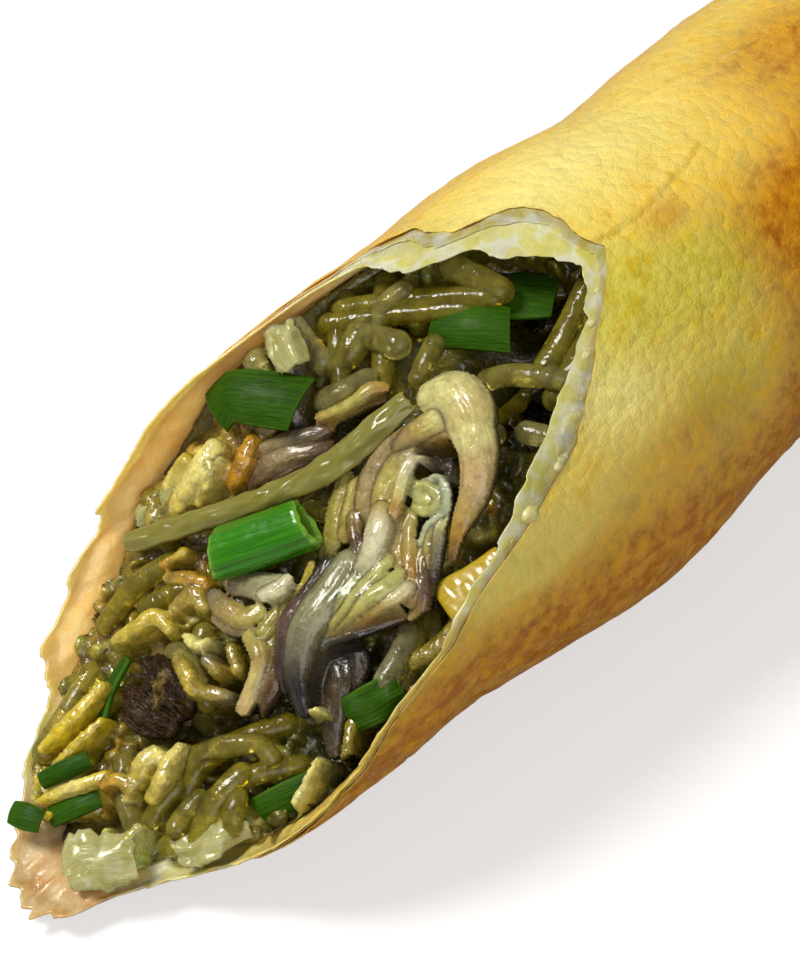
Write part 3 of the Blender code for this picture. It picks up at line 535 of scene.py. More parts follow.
# Deep brown: real browning, and painted shade on the sides turned from the lamp.
deep = blend_colours(tree, freckles["Mask"], (0.62, 0.26, 0.003), (0.38, 0.125, 0.002))
skin = blend_colours(tree, spread(tree, sum_of(tree, mask_of(tree, "browning_and_shade"), uneven), 0.0, 0.9), skin, deep)
skin = blend_colours(tree, sum_of(tree, mask_of(tree, "edge"), 0.12, "MULTIPLY"), skin, (0.62, 0.24, 0.03))
skin = blend_colours(tree, mask_of(tree, "side"), skin, (0.86, 0.52, 0.12))
pink = blend_colours(tree, freckles["Mask"], (0.60, 0.32, 0.12), (0.84, 0.64, 0.42))
skin = blend_colours(tree, mask_of(tree, "tip"), skin, pink)
swell = use_group(tree, blister, [("Size in mm", 0.9), ("Grain", 0.8)])
join_surface(tree, shader, skin, (0.26, 0.46, 900.0), (0.18, 0.8), swell["Height"])

# %% The soaked layers' finish
soaked, tree, shader = new_finish("soaked_sheet", subsurface=0.5, reach=1.8, tone=(1.0, 0.8, 0.3), coat=0.5,
                                  coat_rough=0.10)
swell = use_group(tree, blister, [("Size in mm", 1.4), ("Grain", 0.5)])
freckles = use_group(tree, blotches, [("Scale", 500.0), ("Softness", 0.4)])
pith = blend_colours(tree, freckles["Mask"], (0.62, 0.52, 0.08), (0.76, 0.69, 0.26))
pith = blend_colours(tree, sum_of(tree, swell["Pits"], 0.5, "MULTIPLY"), pith, (0.86, 0.84, 0.66))
# Painted light: the far wall gets a brighter, warmer colour for the light that shines through it.
wall = blend_colours(tree, freckles["Mask"], (0.88, 0.50, 0.12), (0.92, 0.62, 0.22))
pith = blend_colours(tree, mask_of(tree, "wall"), pith, wall)
lip = blend_colours(tree, freckles["Mask"], (0.60, 0.36, 0.05), (0.78, 0.56, 0.14))
pith = blend_colours(tree, mask_of(tree, "lip"), pith, lip)
pink = blend_colours(tree, freckles["Mask"], (0.50, 0.24, 0.06), (0.74, 0.52, 0.27))
pith = blend_colours(tree, mask_of(tree, "tip"), pith, pink)
# The thin far wall is lit from behind: the light that comes through it is added as a faint glow.
glow = blend_colours(tree, mask_of(tree, "wall"), (0, 0, 0), wall)
tree.links.new(glow, shader.inputs["Emission Color"])
shader.inputs["Emission Strength"].default_value = 0.10
join_surface(tree, shader, pith, (0.14, 0.4, 600.0), (0.2, 0.6), swell["Height"])

dress(outer_sheet, crust, "fried_sheet", "wrapper")
dress(middle_sheet, soaked, "fried_sheet", "wrapper")
dress(inner_sheet, soaked, "fried_sheet", "wrapper")

# %% [markdown]
# ## Grains on the soaked layer
# Along the right of the bite the soaked layer has swollen into whitish grains, and bits of rice-like
# noodle stick to it. They are squashed little balls, half sunk into the sheet.
# %% Grains along the rim
GRAINS = (  # (angle, x, radius)
    (41, -13.0, 0.7), (48, -14.2, 0.6), (48, -16.1, 0.65), (49, -18.4, 0.6), (55, -19.4, 0.85),
    (56, -16.0, 0.5), (38, -9.5, 0.5), (30, -7.6, 0.45), (44, -11.4, 0.4), (52, -17.4, 0.35),
    (58, -20.6, 0.4), (35, -11.2, 0.4), (24, -6.4, 0.5), (61, -22.0, 0.45), (18, -6.0, 0.4),
    (46, -17.2, 0.3), (52, -14.0, 0.3))
GRAIN_SUNK, GRAIN_SIZE, GRAIN_STRETCH = 0.6, 0.78, 1.5
ball = bmesh.new()
bmesh.ops.create_icosphere(ball, subdivisions=3, radius=1.0)
ball_points = [v.co.copy() for v in ball.verts]
ball_faces = [tuple(v.index for v in f.verts) for f in ball.faces]
ball.free()
points, faces = [], []
for k, (angle, x, size) in enumerate(GRAINS):
    x = max(x, tear(angle, 0.0) - 0.8)
    centre = place(x, angle, skin_radius(x, angle) - GRAIN_SUNK, 0.0)
    faces += [tuple(i + len(points) for i in face) for face in ball_faces]
    for p in ball_points:
        uneven = 1 + 0.2 * speckle(p.x * 2 + k, p.y * 2, p.z * 2)
        points.append(centre + Vector((p.x * GRAIN_STRETCH, p.y, p.z)) * GRAIN_SIZE * size * uneven)
grains = mesh_piece("swollen_grains", points, faces)
grain_finish, tree, shader = new_finish("swollen_grain", subsurface=0.5, reach=1.0, tone=(1.0, 0.9, 0.5),
                                        coat=0.3, coat_rough=0.1)
colour = mottled(tree, (0.50, 0.42, 0.10), (0.68, 0.62, 0.28), 1100.0, 0.4)
join_surface(tree, shader, colour, (0.2, 0.5, 1300.0), (0.1, 0.8))
dress(grains, grain_finish, "fried_sheet", "wrapper")
# %% [markdown]
# ## The mouth's own frame
# The bite is one slanting plane. Everything in it is placed by three lengths: how far up the slope,
# how far across towards the near side, and how high over the plane.
# %% Places in the mouth
MOUTH_X, MOUTH_REACH = -29.5, 28.9
SLOPE = math.atan2(ROLL_RADIUS, MOUTH_REACH)
UP_SLOPE = Vector((math.cos(SLOPE), 0.0, math.sin(SLOPE)))
ACROSS = Vector((0.0, -1.0, 0.0))
LIFT = Vector((-math.sin(SLOPE), 0.0, math.cos(SLOPE)))
MOUTH = Vector((MOUTH_X, 0.0, AXIS_HEIGHT))
# Dips and mounds of the heap: (up, across, rise, how wide)
LUMPS = ((21.5, 4.0, -6.5, 3.4), (27.5, -1.0, -4.5, 4.0), (-9.0, 12.0, -3.5, 3.0),
         (-11.0, 2.0, -2.5, 3.0), (-14.0, -7.0, -1.8, 3.0), (14.0, -12.4, 3.6, 3.0),
         (8.4, -11.4, 2.8, 3.6), (0.6, -2.6, 1.8, 3.4), (6.0, -6.5, 2.0, 3.0),
         (-3.5, -12.0, 1.4, 3.0), (-27.0, 2.6, 1.6, 2.6), (-25.5, -4.5, 1.0, 2.6))


def mouth_point(up, across, lift):
    return MOUTH + UP_SLOPE * up + ACROSS * across + LIFT * lift


def round_axis(spot):
    """A place's angle round the roll's axis and its distance from it."""
    return math.degrees(math.atan2(-spot.y, spot.z - AXIS_HEIGHT)), math.hypot(spot.y, spot.z - AXIS_HEIGHT)


def face_height(up, across):
    height = -0.6 + 1.6 * speckle(up * 0.23, across * 0.23, 1.7)
    height += 0.7 * speckle(up * 0.5, across * 0.5, 4.1)
    for lump_up, lump_across, rise, width in LUMPS:
        height += rise * bump(math.hypot(up - lump_up, across - lump_across), 0, width)
    return height


def inside_roll(point, margin):
    """The point, drawn in towards the axis where it would touch the sheet."""
    angle, reach = round_axis(point)
    if point.x < tear(angle, 1.0) - margin:
        return point
    limit = skin_radius(point.x, angle) - WALL - margin
    share = min(1.0, limit / max(reach, 0.001))
    z = AXIS_HEIGHT + (point.z - AXIS_HEIGHT) * share
    return Vector((point.x, point.y * share, max(z, 0.9 + margin)))


# %% [markdown]
# ## Places read off the photograph
# The folds of soft food follow no rule, so their stations were read from the photograph, in
# its pixels, each with a guessed height and radius in mm. The camera is so far away that a plain
# linear rule turns a pixel into a place in the mouth's frame, to a tenth of a millimetre.
# %% From pixels to the mouth's frame
MIDDLE_PX = (297.9, 570.1)
UP_PX, ACROSS_PX, LIFT_PX = (7.94, -10.1), (8.91, 7.33), (-5.2, -3.4)


def traced(strands):
    """The strands with their stations (x, y, height, radius) as (up, across, height, radius)."""
    area = round(UP_PX[0] * ACROSS_PX[1] - UP_PX[1] * ACROSS_PX[0], 1)
    placed = []
    for tones, stations in strands:
        places = []
        for x, y, height, radius in stations:
            right, down = x - LIFT_PX[0] * height - MIDDLE_PX[0], y - LIFT_PX[1] * height - MIDDLE_PX[1]
            up = (ACROSS_PX[1] * right - ACROSS_PX[0] * down) / area
            across = (UP_PX[0] * down - UP_PX[1] * right) / area
            places.append((round(up, 1), round(across, 1), height, radius))
        placed.append((tones, places))
    return placed


# %% [markdown]
# ## Tones of the heap
# The broth colours everything it soaks: straw yellow by the far wall, olive in the middle, amber
# where soy sauce ran. The nearly black tones in the hollows are painted shade. A few soft patches
# say where each tone lies. Mash, strewn noodles and crumbs all read their colour here, so they
# belong together.
# %% Patches of tone over the bite
BROTH = (0.20, 0.18, 0.022)
# The nearly black tones lie in the dips of the heap: they are painted shade.
BROTH_AND_SHADE_PATCHES = (  # (up, across, how far it reaches, tone)
    (20.7, -6.7, 4.0, (0.30, 0.27, 0.04)), (16.0, -9.0, 3.0, (0.34, 0.30, 0.06)),
    (27.0, 0.7, 3.0, (0.20, 0.17, 0.015)), (21.4, 5.0, 2.6, (0.010, 0.009, 0.004)),
    (-3.3, 12.7, 4.0, (0.008, 0.012, 0.004)), (3.4, 12.4, 2.5, (0.035, 0.03, 0.008)),
    (-10.1, 5.6, 2.6, (0.018, 0.014, 0.006)), (-20.3, -4.4, 1.6, (0.012, 0.016, 0.006)),
    (12.5, -6.1, 2.0, (0.06, 0.04, 0.012)), (25.6, -0.4, 2.0, (0.03, 0.025, 0.006)),
    (-10.3, -7.1, 3.2, (0.42, 0.33, 0.05)), (-8.6, -10.9, 3.0, (0.50, 0.38, 0.07)),
    (-20.3, -7.2, 3.0, (0.66, 0.50, 0.04)), (-15.6, 8.8, 4.5, (0.19, 0.20, 0.025)),
    (-26.2, 3.8, 3.0, (0.60, 0.56, 0.20)), (-4.7, -7.9, 2.5, (0.24, 0.16, 0.03)),
    (-9.0, -2.8, 3.0, (0.17, 0.14, 0.02)), (8.5, 11.5, 2.5, (0.34, 0.27, 0.02)),
    (18.2, 8.2, 2.5, (0.09, 0.085, 0.008)), (-5.0, -11.0, 2.2, (0.20, 0.13, 0.02)),
    (-23.8, -3.9, 3.0, (0.62, 0.50, 0.07)), (4.5, -10.2, 2.0, (0.44, 0.23, 0.012)),
    (6.0, -7.8, 2.5, (0.20, 0.13, 0.07)), (1.2, -11.8, 3.0, (0.58, 0.50, 0.12)),
    (16.5, 12.0, 3.0, (0.24, 0.21, 0.02)))


def broth_and_shade_tone(up, across, lighter=1.0):
    total, tone = 0.12, np.array(BROTH) * 0.12
    for at_up, at_across, reach, patch_tone in BROTH_AND_SHADE_PATCHES:
        weight = math.exp(-((up - at_up) ** 2 + (across - at_across) ** 2) / reach ** 2)
        total += weight
        tone = tone + weight * np.array(patch_tone)
    return tuple(np.clip(tone / total * lighter, 0.0, 0.95))


# %% [markdown]
# ## The heap's core
# Under everything lies a dark mash that fills the roll. A polar grid over the bite carries its
# lumps and dips, and a plain skin runs on inside the sheet to the shut end. Only its edge shows.
# %% The mash
MASH_AROUND, MASH_RINGS, MASH_SUNK = 200, 46, 2.0


def mash():
    angles = [360.0 * k / MASH_AROUND for k in range(MASH_AROUND)]
    rims = [tear(a, 1.0) + 5.0 + 2.2 * bump(wrapped(a), -122, 34) for a in angles]

    def side(t):
        spots = [(x + t * (CLOSE_FROM - x), a) for a, x in zip(angles, rims)]
        return [place(x, a, skin_radius(x, a) - WALL - 0.25, 1.1) for x, a in spots]

    edge_ring = side(0.0)
    points = []
    for k in range(1, MASH_RINGS + 1):
        share = k / MASH_RINGS
        for edge in edge_ring:
            flat = (edge - Vector((0, 0, AXIS_HEIGHT))) * share
            plane_x = MOUTH_X + flat.z * MOUTH_REACH / ROLL_RADIUS
            edge_plane = MOUTH_X + (edge.z - AXIS_HEIGHT) * MOUTH_REACH / ROLL_RADIUS
            point = Vector((plane_x + share ** 2 * (edge.x - edge_plane), flat.y, AXIS_HEIGHT + flat.z))
            up = (point - MOUTH).dot(UP_SLOPE)
            rise = face_height(up, -point.y) - MASH_SUNK
            points.append(inside_roll(point + LIFT * rise * (1 - share ** 12), 0.1))
    for t in (0.04, 0.1, 0.2, 0.35, 0.5, 0.65, 0.8, 0.9, 1.0):
        points += side(t)
    for t in (0.35, 0.62, 0.82, 0.94):
        x = CLOSE_FROM + t * (FAR_END - CLOSE_FROM - 2 * WALL)
        scale = end_scale(CLOSE_FROM + t * (FAR_END - CLOSE_FROM))
        points += [place(x, a, (skin_radius(x, a) - WALL - 0.3) * scale * tuck(x, a) - 0.2, 1.1)
                   for a in angles]
    rings = len(points) // MASH_AROUND
    points += [mouth_point(0, 0, face_height(0, 0) - MASH_SUNK),
               Vector((FAR_END - 4.4, 0, AXIS_HEIGHT))]
    tints = [broth_and_shade_tone((p - MOUTH).dot(UP_SLOPE), (p - MOUTH).dot(ACROSS), 0.5) for p in points]
    return mesh_piece("filling_mash", points, tube_faces(rings, MASH_AROUND), tint=tints)


mash_piece = mash()

# %% [markdown]
# ## Strands
# Noodles, stems and folds of oyster are all strands: a ring of points carried along a smooth path,
# its frame turned as little as possible from one station to the next so that it never twists.
# %% A rounded strand along stations
def smooth_path(stations, per_span):
    """Points of a Catmull-Rom curve through tuples of any length."""
    p = np.array([stations[0], *stations, stations[-1]], float)
    path = []
    for a, b, c, d in zip(p, p[1:], p[2:], p[3:]):
        for k in range(per_span):
            t = k / per_span
            path.append(0.5 * (2 * b + (c - a) * t + (2 * a - 5 * b + 4 * c - d) * t * t
                               + (3 * b - a - 3 * c + d) * t ** 3))
    path.append(p[-1])
    return path


CAP = ((0.30, 0.92), (0.62, 0.70), (0.85, 0.4))  # (how far out, how wide) in radii


def strand(stations, per_span, around, flat):
    """Points, faces and grain of a closed strand from (up, across, lift, radius) stations."""
    path = smooth_path(stations, per_span)
    spots = [(inside_roll(mouth_point(*p[:3]), p[3] * flat), p[3]) for p in path]
    first = (spots[0][0] - spots[1][0]).normalized()
    last = (spots[-1][0] - spots[-2][0]).normalized()
    head = [(spots[0][0] + first * spots[0][1] * out, spots[0][1] * size) for out, size in reversed(CAP)]
    tail = [(spots[-1][0] + last * spots[-1][1] * out, spots[-1][1] * size) for out, size in CAP]
    tips = [head[0][0] + first * head[0][1] * 0.35, tail[-1][0] + last * tail[-1][1] * 0.35]
    spots = head + spots + tail
    side = LIFT.cross((spots[1][0] - spots[0][0]).normalized())
    side = side.normalized() if side.length > 0.1 else ACROSS.copy()
    points, grain, travelled = [], [], 0.0
    for k, (middle, radius) in enumerate(spots):
        ahead = (spots[min(k + 1, len(spots) - 1)][0] - spots[max(k - 1, 0)][0]).normalized()
        side = (side - ahead * side.dot(ahead)).normalized()
        over = ahead.cross(side)
        travelled += (middle - spots[max(k - 1, 0)][0]).length
        for j in range(around):
            turn = math.tau * j / around
            points.append(middle + side * math.cos(turn) * radius + over * math.sin(turn) * radius * flat)
            grain.append((travelled, turn * radius))
    return points + tips, tube_faces(len(spots), around), grain + [(0.0, 0.0), (travelled, 0.0)]


# %% [markdown]
# ## Laid relief
# Soft food in a bite is all folds and strands pressed on one another. A fine grid over the bite
# keeps, at every place, the highest of the strands laid there, with that strand's tone. Where two
# strands meet, the difference of their heights marks a crease, which the finishes darken as painted
# shade.
# %% A grid that keeps the highest strand
def spread_out(values, kept, rounds):
    """Evens out the kept places of a grid with their kept neighbours."""
    for _ in range(rounds):
        total, weight = np.zeros(values.shape), np.zeros(values.shape)
        known = kept.astype(float)
        for i, j, share in ((0, 0, 2.0), (1, 0, 1.0), (-1, 0, 1.0), (0, 1, 1.0), (0, -1, 1.0)):
            total += share * np.roll(values * known, (i, j), (0, 1))
            weight += share * np.roll(known, (i, j), (0, 1))
        values = np.where(kept, total / np.maximum(weight, 1.0), values)
    return values


class Relief:
    def __init__(self, ups, acrosses, step, sunk):
        self.up, self.across = np.meshgrid(np.arange(*ups, step), np.arange(*acrosses, step), indexing="ij")
        flat = [face_height(u, v) - sunk for u, v in zip(self.up.ravel(), self.across.ravel())]
        self.ground = np.array(flat).reshape(self.up.shape)
        self.top, self.below = self.ground.copy(), self.ground - 1.0
        self.thick = np.full(self.up.shape, 0.5)
        self.tone = np.zeros((*self.up.shape, 3))
        self.grain = np.zeros((*self.up.shape, 2))
        self.strands = 0

    def lay(self, tones, stations, flat=1.0, flank_shade=0.0):
        """Stations are (up, across, height of the crest, radius); tones are spread along them."""
        path = np.array(smooth_path(stations, 6))
        margin = 1.5 * path[:, 3].max()
        rows = np.flatnonzero(np.abs(self.up[:, 0] - path[:, 0].mean()) < np.ptp(path[:, 0]) / 2 + 2 * margin)
        cols = np.flatnonzero(np.abs(self.across[0] - path[:, 1].mean())
                              < np.ptp(path[:, 1]) / 2 + 2 * margin)
        if not len(rows) or not len(cols):
            return
        window = np.ix_(rows, cols)
        u, v = self.up[window], self.across[window]
        best, along, side, depth = (np.full(u.shape, fill) for fill in (-99.0, 0.0, 0.0, 0.0))
        travelled = 0.0
        for a, b in zip(path, path[1:]):
            step = b - a
            size = max(math.hypot(step[0], step[1]), 1e-4)
            t = np.clip(((u - a[0]) * step[0] + (v - a[1]) * step[1]) / size ** 2, 0, 1)
            du, dv = u - a[0] - t * step[0], v - a[1] - t * step[1]
            radius = a[3] + t * step[3]
            share = np.hypot(du, dv) / radius
            half = flat * np.sqrt(1 - np.minimum(share, 1.0) ** 2)
            rise = np.where(share < 1.0, a[2] + t * step[2] - radius * (flat - half), -99.0)
            higher = rise > best
            depth = np.where(higher, 2 * radius * half, depth)
            best = np.where(higher, rise, best)
            along = np.where(higher, travelled + t * size, along)
            side = np.where(higher, (dv * step[0] - du * step[1]) / size, side)
            travelled += size
        above = best > self.top[window]
        self.below[window] = np.where(above, self.top[window], np.maximum(self.below[window], best))
        self.top[window] = np.where(above, best, self.top[window])
        self.thick[window] = np.where(above, depth + 0.15, self.thick[window])
        steps = np.linspace(0, travelled, len(tones))
        for k in range(3):
            own = np.interp(along, steps, [tone[k] for tone in tones])
            # Painted shade: the tone darkens from the crest towards the strand's sides.
            own = own * (1 - flank_shade * np.minimum(np.abs(side) / path[:, 3].max(), 1.0) ** 2)
            self.tone[..., k][window] = np.where(above, own, self.tone[..., k][window])
        self.strands += 1
        self.grain[..., 0][window] = np.where(above, along + 7.3 * self.strands, self.grain[..., 0][window])
        self.grain[..., 1][window] = np.where(above, side, self.grain[..., 1][window])

    def build(self, name, wrinkle, grit, keep=None, soften=(1, 3)):
        """The kept part of the grid as a closed body: the relief above, its underside below."""
        kept = self.top > self.ground + 0.02 if keep is None else keep(self)
        # Painted shade: where a strand lies close over another strand or the ground, this mask darkens the
        # colour.
        crease = np.exp(-np.maximum(self.top - self.below, 0) / 0.16)
        self.top = spread_out(self.top, kept, soften[0])
        for k in range(3):
            self.tone[..., k] = spread_out(self.tone[..., k], kept, soften[1])
        cells = kept[:-1, :-1] & kept[1:, :-1] & kept[:-1, 1:] & kept[1:, 1:]
        used = np.zeros(kept.shape, bool)
        for i, j in ((0, 0), (1, 0), (0, 1), (1, 1)):
            used[i:i + cells.shape[0], j:j + cells.shape[1]] |= cells
        number = np.full(kept.shape, -1)
        number[used] = np.arange(used.sum())
        count, points, under = int(used.sum()), [], []
        for u, v, top, thick, s, w in zip(self.up[used], self.across[used], self.top[used], self.thick[used],
                                          self.grain[..., 0][used], self.grain[..., 1][used]):
            rise = wrinkle * (speckle(s * 0.5, w * 2.4, 1.0) + 0.6 * speckle(s * 1.1, w * 5.5, 4.0))
            rise += grit * abs(speckle(u * 2.6, v * 2.6, 3.0))
            points.append(inside_roll(mouth_point(u, v, top + rise), 0.12))
            under.append(inside_roll(mouth_point(u, v, top - thick), 0.12))
        faces = []
        rows, cols = cells.shape
        for i, j in zip(*np.nonzero(cells)):
            a, b, c, d = number[i, j], number[i + 1, j], number[i + 1, j + 1], number[i, j + 1]
            faces += [(a, b, c, d), (a + count, d + count, c + count, b + count)]
            for near_i, near_j, p, q in ((i, j - 1, a, b), (i + 1, j, b, c),
                                         (i, j + 1, c, d), (i - 1, j, d, a)):
                if not (0 <= near_i < rows and 0 <= near_j < cols and cells[near_i, near_j]):
                    faces.append((q, p, p + count, q + count))
        # Painted shade: the underside takes a third of the top's tone and full crease shade, so the rims
        # darken towards it.
        tones, grain = self.tone[used], self.grain[used]
        return mesh_piece(name, points + under, [tuple(int(k) for k in f) for f in faces],
                          {"crease": np.concatenate([crease[used], np.ones(count)])},
                          np.concatenate([tones, tones * 0.3]), np.concatenate([grain, grain * 0.0]))


# %% [markdown]
# ## Glass noodles
# Soaked mung-bean noodles are clear and take the colour of the broth: olive where they lie deep,
# straw yellow or nearly white where they stand out. The ones that show are placed one by one, the
# rest are strewn over the mash by a fixed seed.
# %% The noodles that show
SHOWN_NOODLES = (  # (tone, radius, stations of (up, across, lift)); tone 0 is olive and 1 cream
    (0.25, 1.0, ((29.8, -6.5, -1.0), (27.4, -8.2, -0.4), (24.8, -9.8, 0.0))),
    (0.3, 1.0, ((22.4, -10.6, -0.8), (19.8, -8.4, 0.2), (17.4, -6.0, 0.2), (15.6, -4.6, -0.2))),
    (0.35, 1.05, ((19.4, -12.0, 0.0), (16.6, -10.2, 0.6), (13.6, -7.0, 0.6), (12.4, -5.6, 0.2))),
    (0.3, 1.1, ((18.4, -11.4, 0.6), (22.6, -6.6, 0.8), (26.4, -1.6, 0.2))),
    (0.25, 1.0, ((16.9, -11.4, 0.9), (20.8, -7.0, 0.9), (24.4, -2.8, 0.4))),
    (0.2, 1.3, ((24.6, 5.2, -1.4), (28.0, 4.4, -1.6), (31.6, 3.3, -2.0))),
    (0.25, 1.2, ((23.0, 7.4, -1.2), (27.0, 6.8, -1.5), (30.6, 5.8, -2.0))),
    (0.5, 1.15, ((26.4, -5.6, 1.2), (26.9, -3.4, 0.8), (27.2, -1.4, 0.2))),
    (0.6, 1.1, ((23.8, 5.6, -0.6), (22.4, 3.2, -0.8), (21.0, 1.6, -1.4))),
    (0.8, 1.0, ((24.1, 6.6, 0.2), (24.6, 8.0, 0.0), (24.8, 9.4, -0.6))),
    (0.75, 1.0, ((19.6, 8.0, 0.4), (20.4, 9.8, 0.3), (21.0, 11.8, 0.0))),
    (0.2, 1.0, ((17.6, 8.8, -0.6), (15.6, 11.0, -0.6), (13.8, 12.8, -1.0))),
    (0.9, 1.1, ((12.0, -14.9, 3.2), (11.2, -13.6, 3.2), (10.2, -11.6, 2.8))),
    (0.85, 1.15, ((15.2, -12.9, 2.2), (14.7, -11.4, 1.9), (14.2, -9.6, 1.0))),
    (0.8, 1.1, ((11.9, -7.0, 1.4), (13.1, -6.2, 1.6), (15.4, -5.4, 1.0))),
    (0.65, 1.3, ((18.9, -4.9, 1.6), (18.4, -6.8, 1.3), (17.8, -9.0, 0.6))),
    (0.45, 1.3, ((14.4, -8.6, 0.6), (17.0, -8.4, 0.9), (20.2, -9.4, 0.4))),
    (0.5, 1.0, ((20.8, -3.0, 0.4), (19.0, -2.4, 0.8), (17.8, -2.0, 0.6))),
    (0.7, 1.0, ((22.6, -7.6, 1.5), (20.8, -8.2, 1.4), (19.2, -8.0, 0.8))),
    (1.0, 1.15, ((1.9, 10.4, -0.4), (0.3, 11.3, 0.4), (-2.1, 11.9, 0.9))),
    (0.75, 1.35, ((-10.9, -4.0, 0.4), (-11.1, -2.2, 1.0), (-11.8, -0.5, 1.3))),
    (0.55, 0.95, ((-17.1, 3.0, 0.2), (-15.2, 3.5, 0.9), (-13.4, 5.1, 1.2), (-12.0, 6.7, 0.9),
                  (-12.2, 8.1, 0.2))),
    (0.35, 1.0, ((-20.7, 7.4, 0.4), (-18.7, 7.2, 1.0), (-16.7, 7.0, 1.2), (-14.5, 7.1, 0.8))),
    (0.3, 1.0, ((-18.4, 9.3, 0.6), (-17.3, 8.8, 1.0), (-16.1, 8.1, 0.8))),
    (0.4, 0.95, ((-21.0, 5.7, 1.0), (-19.8, 5.4, 0.5), (-18.2, 5.3, 0.2))),
    (0.35, 0.9, ((-22.0, 3.5, 0.8), (-20.5, 3.3, 1.0), (-18.6, 3.4, 0.8))),
    (0.2, 1.0, ((3.4, 10.4, -0.9), (0.4, 12.0, -0.6), (-3.2, 12.8, -0.8))),
    (0.25, 1.0, ((-2.8, -3.8, -1.0), (-6.0, -6.8, 0.2), (-9.6, -8.8, 0.2))),
    (0.4, 1.0, ((-8.2, -3.4, 0.2), (-10.6, -2.0, 0.4), (-12.2, 0.6, 0.4))),
    (0.3, 1.0, ((-5.4, -9.6, 0.2), (-9.0, -11.0, 0.0), (-13.0, -11.4, -0.8))),
    (0.15, 1.0, ((-9.4, 6.8, -0.8), (-12.6, 5.0, 0.2), (-16.2, 3.6, 0.3), (-18.6, 4.0, 0.0))),
    (0.2, 1.0, ((-11.2, 9.8, -1.0), (-14.2, 7.6, 0.2), (-17.4, 6.4, 0.2), (-20.2, 6.8, -0.4))),
    (0.3, 1.0, ((-13.4, 4.4, -0.4), (-17.6, 1.8, 0.4), (-21.0, 1.0, 0.2), (-23.2, 2.4, -0.2))),
    (0.3, 1.0, ((-16.8, 9.2, -0.8), (-20.0, 8.0, 0.0), (-22.6, 5.6, 0.0))),
    (0.6, 1.0, ((-20.0, -1.8, 0.4), (-22.0, 0.4, 0.6), (-23.6, 3.4, 0.4))),
    (0.5, 1.0, ((-16.4, -9.6, -0.4), (-20.2, -8.6, 0.2), (-24.0, -8.4, 0.0))),
)
NOODLE_TONES = ((0.0, (0.58, 0.50, 0.03)), (0.35, (0.74, 0.67, 0.12)), (0.7, (0.78, 0.74, 0.28)),
                (1.0, (0.92, 0.90, 0.66)))


def noodle_tone(tone):
    steps = [t for t, _ in NOODLE_TONES]
    return tuple(float(np.interp(tone, steps, [c[k] for _, c in NOODLE_TONES])) for k in range(3))


points, faces, grains_along, tones = [], [], [], []


def add_noodle(new_points, new_faces, new_grain, tone):
    """Joins one more strand to the noodles, in its own tone."""
    faces.extend(tuple(i + len(points) for i in face) for face in new_faces)
    points.extend(new_points)
    grains_along.extend(new_grain)
    tones.extend([noodle_tone(tone)] * len(new_points))


rng = random.Random(5)
for tone, radius, stations in SHOWN_NOODLES:
    swelling = [(*p[:2], p[2] - 0.35, radius * rng.uniform(0.82, 1.0)) for p in stations]
    add_noodle(*strand(swelling, 6, 14, rng.uniform(0.8, 0.95)), tone + rng.uniform(-0.08, 0.08))


# %% The noodles strewn between them
def in_mouth(up, across, lift, margin):
    """Whether a place lies over the floor of the wrapper, not out past its tear."""
    spot = mouth_point(up, across, lift)
    angle, reach = round_axis(spot)
    return spot.x > tear(angle, 0.0) + margin or reach < 9.0 and spot.x > -50


STREWN_NOODLES = 34
strewn = 0
while strewn < STREWN_NOODLES:
    turn, reach = rng.uniform(0, math.tau), math.sqrt(rng.uniform(0.0, 0.86))
    up, across = 31.0 * reach * math.cos(turn), 14.6 * reach * math.sin(turn)
    lean, bend, length = rng.uniform(0, math.tau), rng.uniform(-0.9, 0.9), rng.uniform(1.8, 4.2)
    stations = []
    for step in (-1, 0, 1):
        heading = lean + bend * step
        u, v = up + step * length * math.cos(heading), across + step * length * math.sin(heading)
        stations.append((u, v, face_height(u, v) - 0.9 + rng.uniform(-0.4, 0.4), rng.uniform(0.6, 0.95)))
    if not all(in_mouth(*p[:3], 1.2) for p in stations):
        continue
    strewn += 1
    add_noodle(*strand(stations, 5, 10, rng.uniform(0.75, 0.95)), rng.uniform(0.1, 0.8))
noodle_piece = mesh_piece("glass_noodles", points, faces, tint=tones, grain=grains_along)

